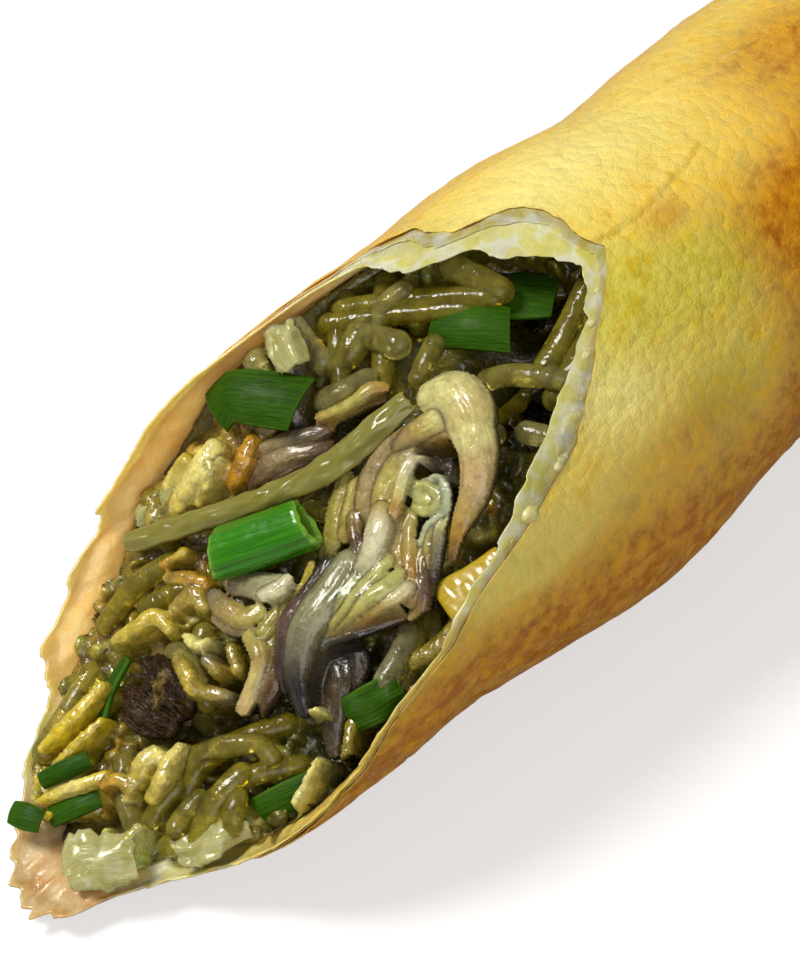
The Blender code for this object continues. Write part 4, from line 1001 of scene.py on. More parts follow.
# %% [markdown]
# ## The bed of crumbs
# Between the noodles lies a mush of noodle ends, cabbage, egg and crumbs. The lumps that stand out
# are laid first, each in its own tone; then some hundreds of short strands and crumbs are strewn
# over the bite by a fixed seed, in the tone the broth gives them there, with the painted shade of
# the hollows.
# %% Lumps that stand out
LUMP_YELLOW, LUMP_CREAM, STRIP_YELLOW = (0.50, 0.40, 0.06), (0.66, 0.60, 0.24), (0.64, 0.50, 0.025)
AMBER_JELLY, OLIVE_TAN, OLIVE_BED = (0.46, 0.24, 0.012), (0.34, 0.26, 0.05), (0.22, 0.19, 0.018)
CREAM, GREEN_SKIN, SLATE = (0.66, 0.63, 0.28), (0.42, 0.43, 0.17), (0.17, 0.15, 0.10)
LAID_BITS = (
    ((LUMP_YELLOW, LUMP_CREAM, LUMP_CREAM), ((170, 502, 1.0, 1.0), (180, 480, 1.9, 1.2),
      (194, 457, 2.6, 1.2), (208, 439, 2.6, 1.0))),
    ((LUMP_CREAM, LUMP_YELLOW), ((163, 474, 0.8, 0.8), (178, 452, 1.6, 0.9))),
    ((LUMP_YELLOW, LUMP_CREAM), ((196, 494, 1.5, 0.7), (205, 472, 2.3, 0.8), (214, 453, 2.3, 0.7))),
    ((LUMP_CREAM, LUMP_CREAM), ((199, 470, 2.7, 0.35), (207, 463, 2.8, 0.35), (204, 454, 2.8, 0.3))),
    ((AMBER_JELLY, AMBER_JELLY), ((230, 472, 1.4, 0.9), (240, 451, 2.0, 1.0), (247, 434, 2.0, 0.8))),
    ((AMBER_JELLY, LUMP_YELLOW), ((157, 560, 0.9, 0.5), (180, 545, 1.3, 0.6))),
    ((LUMP_YELLOW, LUMP_YELLOW), ((111, 636, 1.2, 0.7), (130, 622, 1.7, 0.9), (150, 610, 1.7, 0.9),
      (166, 624, 1.7, 0.7))),
    ((OLIVE_TAN, OLIVE_TAN), ((172, 602, 1.2, 0.8), (188, 587, 1.6, 0.9), (200, 601, 1.6, 0.8))),
    ((OLIVE_TAN, AMBER_JELLY), ((163, 572, 0.9, 0.7), (184, 572, 1.3, 0.8), (201, 577, 1.4, 0.7))),
    ((CREAM, CREAM), ((184, 632, 2.0, 0.6), (196, 639, 2.3, 0.7), (206, 636, 2.0, 0.5))),
    ((OLIVE_TAN, LUMP_YELLOW), ((176, 655, 2.2, 0.8), (184, 668, 2.6, 0.95), (191, 682, 2.4, 0.9))),
    ((SLATE, OLIVE_TAN), ((205, 654, 2.1, 0.8), (214, 664, 2.0, 0.75))),
    ((SLATE, OLIVE_TAN, SLATE), ((197, 684, 1.3, 0.7), (212, 688, 1.7, 0.85), (228, 690, 1.4, 0.6))),
    ((OLIVE_BED, OLIVE_TAN), ((230, 643, 1.6, 0.7), (236, 663, 1.6, 0.7))),
    ((LUMP_CREAM, LUMP_YELLOW, LUMP_CREAM), ((127, 790, 1.6, 0.7), (135, 772, 2.3, 1.0),
      (141, 755, 2.5, 1.0), (153, 747, 2.3, 0.9))),
    ((LUMP_YELLOW, LUMP_CREAM), ((151, 790, 1.9, 0.8), (160, 771, 2.4, 0.9), (168, 756, 2.3, 0.8),
      (177, 742, 1.9, 0.7))),
    ((AMBER_JELLY, LUMP_YELLOW), ((103, 779, 2.1, 0.6), (117, 772, 2.5, 0.75), (130, 781, 2.3, 0.7))),
    ((STRIP_YELLOW, STRIP_YELLOW, LUMP_YELLOW), ((37, 744, 1.2, 0.6), (58, 722, 1.7, 0.8),
      (78, 702, 1.7, 0.8), (98, 681, 1.3, 0.6))),
    ((LUMP_YELLOW, STRIP_YELLOW), ((50, 762, 1.2, 0.5), (75, 737, 1.6, 0.65), (97, 716, 1.4, 0.5))),
    ((STRIP_YELLOW, LUMP_CREAM, STRIP_YELLOW), ((38, 796, 1.9, 0.5), (60, 785, 2.2, 0.7),
      (85, 776, 2.3, 0.7), (105, 768, 2.0, 0.5))),
    ((LUMP_CREAM, STRIP_YELLOW), ((24, 819, 1.8, 0.4), (46, 808, 2.0, 0.45))),
    ((GREEN_SKIN, LUMP_YELLOW, GREEN_SKIN), ((93, 884, 1.6, 0.6), (107, 859, 2.1, 0.75),
      (120, 838, 2.3, 0.75), (138, 821, 1.9, 0.6))),
    ((CREAM, CREAM), ((318, 750, 1.2, 0.4), (308, 770, 1.7, 0.5), (297, 792, 1.7, 0.6))),
    ((CREAM, CREAM), ((308, 705, 2.0, 0.3), (317, 703, 2.1, 0.4), (324, 708, 1.9, 0.25))),
    ((OLIVE_BED, OLIVE_BED), ((352, 715, 0.6, 0.7), (348, 735, 0.9, 0.7), (346, 756, 0.8, 0.75))),
    ((CREAM, CREAM), ((226, 852, 1.8, 0.25), (245, 838, 2.1, 0.3), (264, 824, 1.9, 0.22))),
    ((OLIVE_TAN, OLIVE_BED), ((480, 598, 0.4, 0.9), (456, 621, 0.5, 1.1), (430, 645, 0.3, 1.1),
      (409, 656, 0.1, 0.9))),
    ((LUMP_CREAM, CREAM), ((247, 325, 1.6, 0.8), (255, 345, 2.0, 0.8), (261, 370, 1.9, 0.8))),
)

# %% The strewn bed
def over_floor(relief):
    """Where the grid lies inside the wrapper and behind its tear."""
    kept = np.zeros(relief.up.shape, bool)
    for index in np.ndindex(kept.shape):
        spot = mouth_point(relief.up[index], relief.across[index], relief.ground[index] + 1.0)
        angle, reach = round_axis(spot)
        kept[index] = spot.x > tear(angle, 1.0) + 0.4 and reach < skin_radius(spot.x, angle) - WALL + 0.4
    return kept


bed = Relief((-31.0, 33.5), (-15.5, 15.5), 0.2, 1.5)
for index in np.ndindex(bed.up.shape):
    bed.tone[index] = broth_and_shade_tone(bed.up[index], bed.across[index], 0.6)
for tones, stations in traced(LAID_BITS):
    bed.lay(tones, stations, 0.9, 0.2)
STREWN_BITS = 760
rng = random.Random(11)
for k in range(STREWN_BITS):
    up, across = rng.uniform(-30, 33), rng.uniform(-15, 15)
    crumb = k % 5 > 1
    radius = rng.uniform(0.22, 0.6) if crumb else rng.uniform(0.4, 0.85)
    reach = rng.uniform(0.1, 0.6) if crumb else rng.uniform(0.8, 3.2)
    lean, bend = rng.uniform(0, math.tau), rng.uniform(-0.8, 0.8)
    rise = rng.uniform(-0.75, 0.1) + (0.2 if crumb else 0.0)
    stations = []
    for step in (-1, 0, 1):
        u = up + step * reach * math.cos(lean + bend * step)
        v = across + step * reach * math.sin(lean + bend * step)
        stations.append((u, v, face_height(u, v) + rise, radius * rng.uniform(0.8, 1.15)))
    tone = broth_and_shade_tone(up, across, rng.uniform(0.55, 1.5))
    if k % 9 == 0:
        speck = rng.choice((LUMP_CREAM, LUMP_YELLOW, AMBER_JELLY))
        tone = tuple(0.5 * c + 0.5 * e for c, e in zip(tone, speck))
    bed.lay((tone, tuple(c * rng.uniform(0.75, 1.2) for c in tone)), stations, rng.uniform(0.7, 1.0), 0.35)
# Painted shade: the lower the bed lies, the darker its tone.
deep = np.clip(1.15 + 0.22 * (bed.top + 1.0), 0.12, 1.15)
bed.tone = np.clip(bed.tone * deep[..., None], 0.0, 0.95)
crumb_piece = bed.build("filling_crumbs", 0.05, 0.26, over_floor, (1, 2))
print("bed of", bed.strands, "strands and crumbs")

# %% [markdown]
# ## The look of the wet heap
# Noodle, mash and crumb share a scheme: each point's own tone, mottled a little, a greasy film that
# sets the gloss, and light that goes in. The noodles also let light through, as they are clear.
# %% Finishes of mash, noodles and crumbs
def soaked_finish(name, glossy, dull, scale, relief, crease_shade=0.0, **how):
    made, tree, shader = new_finish(name, reach=1.3, tone=(1.0, 0.85, 0.3), coat_rough=0.06, **how)
    dots = mottled(tree, (0.42, 0.39, 0.24), (1.12, 1.06, 0.74), scale, 0.45)
    colour = blend_colours(tree, 1.0, tint_of(tree), dots, "MULTIPLY")
    if crease_shade:
        # Painted shade in the creases between strands.
        shade = sum_of(tree, mask_of(tree, "crease"), crease_shade, "MULTIPLY")
        colour = blend_colours(tree, shade, colour, (0.02, 0.014, 0.002))
    join_surface(tree, shader, colour, (glossy, dull, scale * 1.4), (relief, 0.8))
    return made


dress(mash_piece, soaked_finish("mash", 0.12, 0.42, 900.0, 0.3, coat=0.6), "filling", "filling")
dress(noodle_piece, soaked_finish("glass_noodle", 0.06, 0.26, 700.0, 0.16, subsurface=0.2,
                                  transmission=0.82, ior=1.36), "filling", "filling")
dress(crumb_piece, soaked_finish("soft_crumb", 0.10, 0.40, 1000.0, 0.3, 0.8, coat=0.7, subsurface=0.25),
      "filling", "filling")

# %% [markdown]
# ## The oyster
# A cooked oyster is a bag of soft folds: a plump cream knob that bends over a hollow, a grey-brown
# mantle, a dark lobe, a pleated yellow-green frill. Its folds were traced from above one by one, so
# each is a strand of the laid relief with its own tones.
# %% Tones of its skin
# The pearl and silver tones are partly painted highlights, laid along crests where the wet skin shines.
SHELL_PINK, PEACH_SKIN, PEARL_AND_HIGHLIGHT = (0.52, 0.38, 0.18), (0.58, 0.48, 0.20), (0.66, 0.62, 0.44)
TAN, STRAW_SKIN, YELLOW_SKIN = (0.42, 0.31, 0.09), (0.46, 0.40, 0.10), (0.52, 0.42, 0.05)
MAUVE, SILVER_AND_HIGHLIGHT, INK = (0.32, 0.24, 0.12), (0.28, 0.28, 0.16), (0.014, 0.011, 0.012)
AMBER, BROWN = (0.42, 0.23, 0.03), (0.10, 0.05, 0.014)
PLUM, UMBER = (0.11, 0.055, 0.045), (0.065, 0.045, 0.02)
GILL, BLUISH, OLIVE_SKIN = (0.46, 0.46, 0.15), (0.47, 0.53, 0.38), (0.30, 0.27, 0.05)
CAVITY_SHADE, YELLOW_GREEN = (0.04, 0.02, 0.003), (0.32, 0.31, 0.02)
# %% Its folds, from the knob down to the veil
OYSTER_FOLDS = (
    ((CREAM, CREAM, PEACH_SKIN, CREAM, SHELL_PINK, SHELL_PINK, TAN, AMBER, BROWN), ((428, 392, 4.6, 1.5),
      (446, 392, 5.4, 2.2), (456, 404, 5.6, 2.3), (463, 424, 5.4, 1.9), (469, 445, 5.2, 1.65),
      (470, 468, 4.8, 1.45), (466, 490, 4.3, 1.25), (459, 510, 3.8, 0.95), (453, 530, 3.3, 0.65),
      (449, 553, 2.8, 0.45))),
    ((CREAM, TAN, MAUVE), ((440, 412, 5.0, 1.3), (424, 422, 4.8, 1.2), (408, 430, 4.4, 1.0),
      (396, 440, 4.0, 0.9))),
    ((AMBER, BROWN), ((446, 428, 4.4, 0.7), (432, 434, 4.3, 0.6), (416, 438, 3.9, 0.5))),
    ((MAUVE, MAUVE, TAN), ((400, 432, 4.0, 0.9), (382, 446, 3.7, 1.1), (369, 470, 3.3, 1.2),
      (361, 497, 3.0, 1.1), (356, 520, 2.7, 0.8))),
    ((MAUVE, STRAW_SKIN, TAN), ((408, 442, 3.9, 0.8), (392, 460, 3.7, 1.1), (382, 484, 3.4, 1.2),
      (378, 504, 3.1, 0.9))),
    ((PEARL_AND_HIGHLIGHT, PEARL_AND_HIGHLIGHT, CREAM, AMBER, MAUVE), ((420, 455, 3.9, 0.4), (408, 458, 4.3, 0.6), (401, 472, 4.4, 0.7),
      (396, 490, 4.1, 0.65), (392, 506, 3.8, 0.6), (388, 521, 3.4, 0.5))),
    ((STRAW_SKIN, OLIVE_SKIN), ((344, 474, 2.6, 0.8), (337, 500, 2.4, 1.1), (333, 526, 2.2, 1.1),
      (326, 546, 1.8, 0.9))),
    ((STRAW_SKIN, TAN), ((356, 480, 2.9, 0.9), (350, 505, 2.8, 1.0), (346, 528, 2.6, 0.9))),
    ((TAN, PEARL_AND_HIGHLIGHT, PEARL_AND_HIGHLIGHT, SILVER_AND_HIGHLIGHT), ((377, 506, 3.6, 0.9), (375, 521, 4.2, 1.2), (370, 539, 4.2, 1.1),
      (364, 556, 3.8, 1.0), (356, 570, 3.5, 0.9))),
    ((TAN, BROWN, BROWN), ((352, 513, 3.0, 0.7), (354, 534, 3.2, 0.7), (360, 553, 3.0, 0.55))),
    ((SILVER_AND_HIGHLIGHT, SILVER_AND_HIGHLIGHT, SILVER_AND_HIGHLIGHT, SLATE, INK, INK), ((344, 560, 3.5, 1.5), (330, 581, 3.9, 1.65),
      (315, 600, 4.1, 1.6), (302, 620, 4.0, 1.5), (297, 641, 3.6, 1.4), (295, 662, 3.0, 1.3),
      (298, 684, 2.1, 1.0), (304, 702, 1.3, 0.7))),
    ((GREEN_SKIN, GREEN_SKIN, SLATE), ((354, 573, 3.6, 0.8), (339, 591, 3.8, 0.8), (328, 607, 3.6, 0.7),
      (319, 624, 3.2, 0.6))),
    ((INK, PLUM, INK), ((326, 558, 2.9, 0.7), (313, 580, 3.1, 0.8), (297, 598, 3.2, 0.8),
      (285, 614, 3.2, 0.7), (281, 634, 2.8, 0.7), (281, 656, 2.2, 0.7), (287, 680, 1.5, 0.7))),
    ((GILL, GILL, STRAW_SKIN), ((386, 556, 3.3, 0.6), (374, 570, 3.7, 0.7), (358, 586, 3.9, 0.75),
      (345, 602, 3.8, 0.65), (332, 618, 3.4, 0.5))),
    ((GILL, GILL, STRAW_SKIN), ((397, 570, 3.3, 0.7), (384, 581, 3.8, 0.8), (367, 592, 4.0, 0.85),
      (351, 606, 3.7, 0.75), (337, 620, 3.2, 0.5))),
    ((PEARL_AND_HIGHLIGHT, PEACH_SKIN, AMBER, AMBER, OLIVE_SKIN), ((404, 584, 3.4, 0.7), (393, 593, 3.7, 0.6),
      (376, 601, 3.5, 0.7), (358, 611, 3.3, 0.65), (340, 621, 3.0, 0.55), (326, 630, 2.6, 0.4))),
    ((BROWN, INK, INK, SLATE, INK), ((402, 611, 1.6, 0.5), (382, 618, 2.1, 0.5), (362, 626, 2.5, 0.45),
      (345, 632, 2.7, 0.45), (330, 636, 2.7, 0.5), (318, 646, 2.4, 0.5), (313, 661, 2.0, 0.4),
      (311, 679, 1.5, 0.4), (313, 696, 1.0, 0.4))),
    # Painted shade: a near-black strand laid low in the hollow under the knob.
    ((CAVITY_SHADE, CAVITY_SHADE), ((436, 446, 1.6, 1.2), (446, 460, 1.4, 1.3), (448, 480, 1.2, 1.1))),
    ((YELLOW_GREEN, YELLOW_GREEN), ((416, 468, 2.0, 0.6), (412, 482, 2.5, 0.6))),
    ((BLUISH, BLUISH, BLUISH, BLUISH), ((423, 478, 3.0, 0.35), (433, 473, 3.5, 0.4), (441, 482, 3.7, 0.45),
      (444, 498, 3.5, 0.45), (440, 512, 3.3, 0.45), (429, 519, 3.2, 0.4), (422, 529, 3.0, 0.4),
      (419, 542, 2.7, 0.35))),
    ((GILL, GREEN_SKIN, GILL), ((411, 490, 3.0, 0.5), (416, 482, 3.4, 0.5), (426, 484, 3.6, 0.5),
      (433, 492, 3.6, 0.5), (432, 503, 3.5, 0.5), (423, 509, 3.3, 0.45), (413, 503, 3.1, 0.5))),
    ((GREEN_SKIN, GILL), ((414, 495, 3.3, 0.4), (423, 495, 3.5, 0.5), (429, 499, 3.4, 0.4))),
    ((STRAW_SKIN, TAN, TAN), ((404, 500, 2.5, 0.5), (396, 520, 2.9, 0.6), (393, 538, 2.9, 0.6),
      (397, 556, 2.8, 0.55), (404, 573, 2.6, 0.5))),
    ((STRAW_SKIN, TAN, AMBER, TAN), ((412, 508, 2.7, 0.5), (407, 528, 3.1, 0.65), (406, 550, 3.1, 0.65),
      (409, 572, 3.0, 0.6), (412, 592, 2.7, 0.55), (413, 606, 2.2, 0.5))),
    ((TAN, BROWN, PLUM, TAN), ((421, 545, 2.7, 0.4), (420, 565, 2.9, 0.5), (421, 586, 2.8, 0.55),
      (418, 602, 2.5, 0.55), (409, 612, 2.1, 0.45))),
    ((CREAM, SLATE, INK, BROWN), ((443, 513, 3.2, 0.4), (437, 522, 3.2, 0.6), (433, 540, 3.0, 0.7),
      (430, 560, 2.7, 0.7), (427, 582, 2.4, 0.6), (424, 602, 2.0, 0.5))),
    ((STRAW_SKIN, TAN), ((430, 524, 3.1, 0.4), (426, 542, 3.0, 0.45), (424, 564, 2.8, 0.4))),
    # Painted shade: the veil and the strand beside it lie under the frill, and their near-black tones stand
    # partly for its shadow.
    ((INK, UMBER, UMBER, UMBER), ((334, 650, 0.7, 1.5), (337, 672, 0.8, 1.6), (334, 696, 0.5, 1.3),
      (332, 720, 0.1, 1.0), (334, 744, -0.3, 0.7))),
    ((INK, UMBER, INK), ((352, 640, 0.9, 1.1), (354, 662, 0.4, 1.1), (346, 690, 0.1, 0.9))),
)
SMALL_FOLDS = (
    ((MAUVE, SILVER_AND_HIGHLIGHT, PEARL_AND_HIGHLIGHT), ((232, 578, 1.6, 1.0), (250, 577, 2.4, 1.2), (268, 582, 2.8, 1.3),
      (283, 580, 2.6, 1.0))),
    ((PEARL_AND_HIGHLIGHT, PEARL_AND_HIGHLIGHT), ((262, 588, 2.9, 0.7), (275, 584, 3.2, 0.9), (285, 576, 3.0, 0.7))),
    ((SLATE, TAN, STRAW_SKIN), ((211, 592, 1.3, 0.8), (224, 604, 1.8, 1.1), (241, 612, 2.0, 1.0),
      (257, 606, 2.0, 0.8))),
    ((MAUVE, SLATE), ((216, 612, 1.2, 0.7), (232, 620, 1.4, 0.9), (248, 624, 1.3, 0.7))),
    ((YELLOW_SKIN, YELLOW_SKIN, YELLOW_SKIN), ((311, 560, 2.4, 0.4), (304, 578, 2.1, 0.45),
      (292, 594, 2.0, 0.5), (281, 608, 1.9, 0.5), (276, 623, 1.5, 0.4))),
    ((STRAW_SKIN, OLIVE_SKIN), ((288, 598, 1.8, 0.7), (274, 612, 1.9, 0.8), (263, 626, 2.0, 0.9))),
    ((STRAW_SKIN, TAN, PEACH_SKIN, SHELL_PINK), ((248, 632, 1.8, 0.7), (256, 642, 2.2, 0.9),
      (258, 656, 2.1, 0.8), (254, 673, 1.8, 0.7), (248, 690, 1.4, 0.8), (243, 702, 1.1, 0.7))),
    ((OLIVE_SKIN, BROWN, BROWN, UMBER), ((270, 634, 1.7, 0.8), (271, 655, 1.6, 0.9), (269, 676, 1.4, 1.0),
      (267, 696, 1.0, 0.9), (270, 710, 0.5, 0.7))),
)
MANTLE_FOLDS = (
    ((TAN, STRAW_SKIN, STRAW_SKIN, AMBER), ((318, 410, 2.4, 0.5), (340, 403, 2.8, 0.6),
      (356, 393, 3.0, 0.7), (368, 384, 3.0, 0.75), (383, 383, 2.7, 0.5))),
    ((AMBER, BROWN), ((326, 414, 1.9, 0.6), (348, 405, 2.2, 0.7), (368, 395, 2.3, 0.7),
      (382, 393, 2.2, 0.5))),
    ((BROWN, MAUVE, BROWN), ((250, 472, 0.9, 1.1), (266, 457, 1.4, 1.3), (287, 446, 1.6, 1.2),
      (308, 441, 1.5, 1.1), (324, 438, 1.1, 0.8))),
    ((MAUVE, SLATE, BROWN), ((262, 440, 1.6, 0.6), (286, 430, 1.9, 0.7), (310, 427, 1.9, 0.7),
      (330, 421, 1.6, 0.5))),
    ((BROWN, UMBER), ((275, 470, 0.9, 0.8), (298, 458, 1.1, 0.9), (322, 450, 0.9, 0.8))),
)


def folded(name, folds, ups, acrosses, flank_shade, wrinkle=0.10, soften=(3, 9)):
    """A relief of folds; the flank share is painted shade: how much darker their sides are than their crests.
    """
    relief = Relief(ups, acrosses, 0.14, 1.9)
    for tones, stations in folds:
        relief.lay(tones, stations, 0.8, flank_shade)
    return relief.build(name, wrinkle, 0.06, soften=soften)


oyster = folded("oyster_body", traced(OYSTER_FOLDS), (-14.0, 22.5), (-3.0, 14.0), 0.25)
small = folded("oyster_small_lobe", traced(SMALL_FOLDS), (-12.0, 6.0), (-6.0, 5.5), 0.2)
mantle = folded("oyster_mantle_fold", traced(MANTLE_FOLDS), (0.0, 19.0), (-11.0, 2.0), 0.25)

# %% [markdown]
# ## The look of oyster
# The skin is moist and a little pearly, with the tone of each fold, painted shade in its creases,
# and specks of grey; the pale tones on some crests are painted highlights. Fine pleats follow the
# folds, and a clear coat makes the small sharp highlights of a wet surface.
# %% Oyster finish
oyster_finish, tree, shader = new_finish("oyster_skin", subsurface=0.25, reach=0.9, tone=(1.0, 0.75, 0.35),
                                         coat=0.5, coat_rough=0.1, specular=0.4)
dots = mottled(tree, (0.56, 0.52, 0.38), (1.02, 1.0, 0.84), 1100.0, 0.4)
colour = blend_colours(tree, 0.85, tint_of(tree), dots, "MULTIPLY")
# Painted shade in the creases between folds.
shade = sum_of(tree, mask_of(tree, "crease"), 0.75, "MULTIPLY")
colour = blend_colours(tree, shade, colour, (0.03, 0.018, 0.004))
pleats = use_group(tree, fibres, [("Across per mm", 2.6), ("Along per mm", 0.5)])
join_surface(tree, shader, colour, (0.16, 0.46, 1300.0), (0.16, 0.8), pleats["Height"], with_film=True)
dress(oyster, oyster_finish, "oyster", "oyster")
dress(small, oyster_finish, "oyster", "oyster_small")
dress(mantle, oyster_finish, "oyster", "oyster_mantle")

# %% [markdown]
# ## Leaves, ribbons and cabbage
# Anything thin is one grid bent along its stations: a top, an underside and a rim between them, so
# it is a closed body with a real thickness. The grid's own two directions go into 'grain', which
# runs the fibres along the leaf.
# %% A thin bent sheet
SHEET_ACROSS, SHEET_PER_SPAN = 12, 9


def thin_sheet(name, stations, thickness, curl=0.0, ripple=0.0, skew=(0.0, 0.0), ragged=0.0, seed=0.0):
    """A bent sheet along (up, across, lift, half width, twist in degrees) stations."""
    path = smooth_path(stations, SHEET_PER_SPAN)
    middles = [mouth_point(*p[:3]) for p in path]
    last, loop = len(path) - 1, SHEET_ACROSS + 1
    points, grain, travelled = [], [], 0.0
    for k, (middle, station) in enumerate(zip(middles, path)):
        ahead = (middles[min(k + 1, last)] - middles[max(k - 1, 0)]).normalized()
        travelled += (middle - middles[max(k - 1, 0)]).length
        side = LIFT.cross(ahead).normalized()
        face = ahead.cross(side)
        twist = math.radians(station[4])
        side, face = (side * math.cos(twist) + face * math.sin(twist),
                      face * math.cos(twist) - side * math.sin(twist))
        t = k / last
        row, marks = [], []
        for j in range(loop):
            share = 2 * j / SHEET_ACROSS - 1
            lean = (skew[0] * (1 - t) + skew[1] * t) * share
            if k in (0, last):
                lean += ragged * speckle(t * 9 + seed, share * 3, 1.0 + seed)
            wide = station[3] * (1 + 0.5 * ragged * speckle(t * 14 + seed, 4.0, share))
            rise = curl * (1 - share ** 2) + ripple * speckle(travelled * 0.7 + seed, share * 1.6, seed)
            row.append(middle + side * share * wide + ahead * lean + face * rise)
            marks.append((travelled + seed * 7, share * station[3] + seed * 3))
        shifts = [inside_roll(spot, thickness / 2 + 0.1) - spot for spot in row]
        shift = max(shifts, key=lambda move: move.length)
        half = thickness / 2 * (0.55 + 0.45 * min(1.0, 6 * min(t, 1 - t) + 0.2))
        points += [p + shift + face * half for p in row] + [p + shift - face * half for p in reversed(row)]
        grain += marks + marks[::-1]
    ring = 2 * loop
    faces = [(k * ring + j, k * ring + (j + 1) % ring, (k + 1) * ring + (j + 1) % ring, (k + 1) * ring + j)
             for k in range(last) for j in range(ring)]
    faces += [(k * ring + j, k * ring + j + 1, k * ring + ring - 2 - j, k * ring + ring - 1 - j)
              for k in (0, last) for j in range(SHEET_ACROSS)]
    rim = [1.0 if k in (0, last) or j in (0, SHEET_ACROSS, loop, ring - 1) else 0.0
           for k in range(len(path)) for j in range(ring)]
    return mesh_piece(name, points, faces, {"rim": rim}, grain=grain)


def fibrous(name, across, along, share, tones, rim, gloss, relief, **how):
    """A finish of fibres that run along the piece, with a paler cut rim.

    tones holds the colour under the fibres, a tuple or the two of a mottled mix, and theirs."""
    made, tree, shader = new_finish(name, **how)
    threads = use_group(tree, fibres, [("Across per mm", across), ("Along per mm", along)])
    under, over = tones
    if isinstance(under[0], tuple):
        under = mottled(tree, *under)
    colour = blend_colours(tree, sum_of(tree, threads["Mask"], share, "MULTIPLY"), under, over)
    if rim:
        colour = blend_colours(tree, sum_of(tree, mask_of(tree, "rim"), rim[0], "MULTIPLY"), colour, rim[1])
    join_surface(tree, shader, colour, gloss, relief, threads["Height"])
    return made


# %% Spring onion leaves
LEAVES = {
    "onion_leaf_rim": (((6.2, -15.2, 2.6, 1.5, 10), (8.4, -11.6, 3.2, 2.2, 4), (10.6, -7.6, 2.6, 2.3, -4)),
                       dict(curl=0.7, skew=(-1.2, 0.6), seed=1.0)),
    "onion_leaf_front": (((22.0, -4.2, -0.4, 1.8, 0), (23.6, -1.5, 0.0, 1.9, 0), (25.2, 1.2, -0.6, 1.8, 0)),
                         dict(curl=0.7, skew=(0.3, -0.3), seed=2.0)),
    "onion_leaf_deep": (((26.2, -3.2, -2.6, 1.8, -20), (28.0, -1.0, -2.6, 2.3, -20),
        (29.4, 1.2, -3.2, 1.8, -20)),
                        dict(curl=0.5, seed=3.0)),
    "onion_leaf_low": (((-5.8, 11.2, 0.2, 1.4, 20), (-3.8, 12.4, 0.6, 1.6, 20), (-1.6, 13.2, 0.2, 1.4, 20)),
                       dict(curl=0.4, ripple=0.5, seed=4.0)),
    "onion_leaf_wall": (((-16.2, 9.2, -1.2, 1.0, 25), (-13.4, 10.9, -1.0, 1.2, 25),
        (-10.8, 12.2, -1.0, 1.0, 25)),
                        dict(curl=0.3, seed=5.0)),
    "onion_bit_tip_a": (((-25.3, -6.1, 0.8, 0.7, 20), (-23.4, -5.0, 1.0, 0.8, 20),
        (-21.5, -3.9, 0.8, 0.7, 20)),
                        dict(curl=0.3, seed=6.0)),
    "onion_bit_tip_b": (((-26.9, -3.4, 0.9, 0.8, 0), (-25.0, -2.2, 1.2, 0.9, 0),
        (-23.1, -1.1, 0.9, 0.8, 0)),
                        dict(curl=0.3, seed=7.0)),
    "onion_bit_edge": (((-28.4, -5.6, 2.4, 0.9, 0), (-27.9, -4.3, 2.6, 1.1, 0), (-27.4, -3.0, 2.4, 0.9, 0)),
                       dict(curl=0.2, seed=8.0)),
    "onion_strip_dark": (((-13.6, -7.4, -0.2, 0.7, 40), (-16.8, -6.9, -0.4, 0.9, 40),
        (-19.8, -5.2, -0.4, 0.7, 40)),
                         dict(curl=0.2, seed=9.0)),
}
leaf_finish = fibrous(
    "onion_leaf", 4.0, 0.5, 0.5,
    (((0.009, 0.036, 0.0003), (0.028, 0.085, 0.0006), 300.0, 0.5), (0.035, 0.11, 0.001)),
    (0.3, (0.12, 0.28, 0.02)), (0.4, 0.65, 900.0), (0.18, 0.8),
    subsurface=0.1, reach=0.6, tone=(0.4, 1.0, 0.2), coat=0.02, coat_rough=0.2, specular=0.12)
for name, (stations, how) in LEAVES.items():
    dress(thin_sheet(name + "_cut", stations, 0.45, **how), leaf_finish, "spring_onion", name)

# %% [markdown]
# ## The cut tube of spring onion
# The bright green ring is a short piece of hollow leaf. Its wall is thin, a little oval, ribbed
# along its length, and wet. The cut ends are paler than the skin.
# %% The tube
def mouth_axes(start, end):
    """Unit vectors ahead, to the side and up for a piece that lies from one place to another."""
    ahead = (end - start).normalized()
    side = LIFT.cross(ahead).normalized()
    return ahead, side, ahead.cross(side)


RING_AROUND, RING_RINGS, RING_RADIUS, RING_WALL = 56, 26, 1.9, 0.5


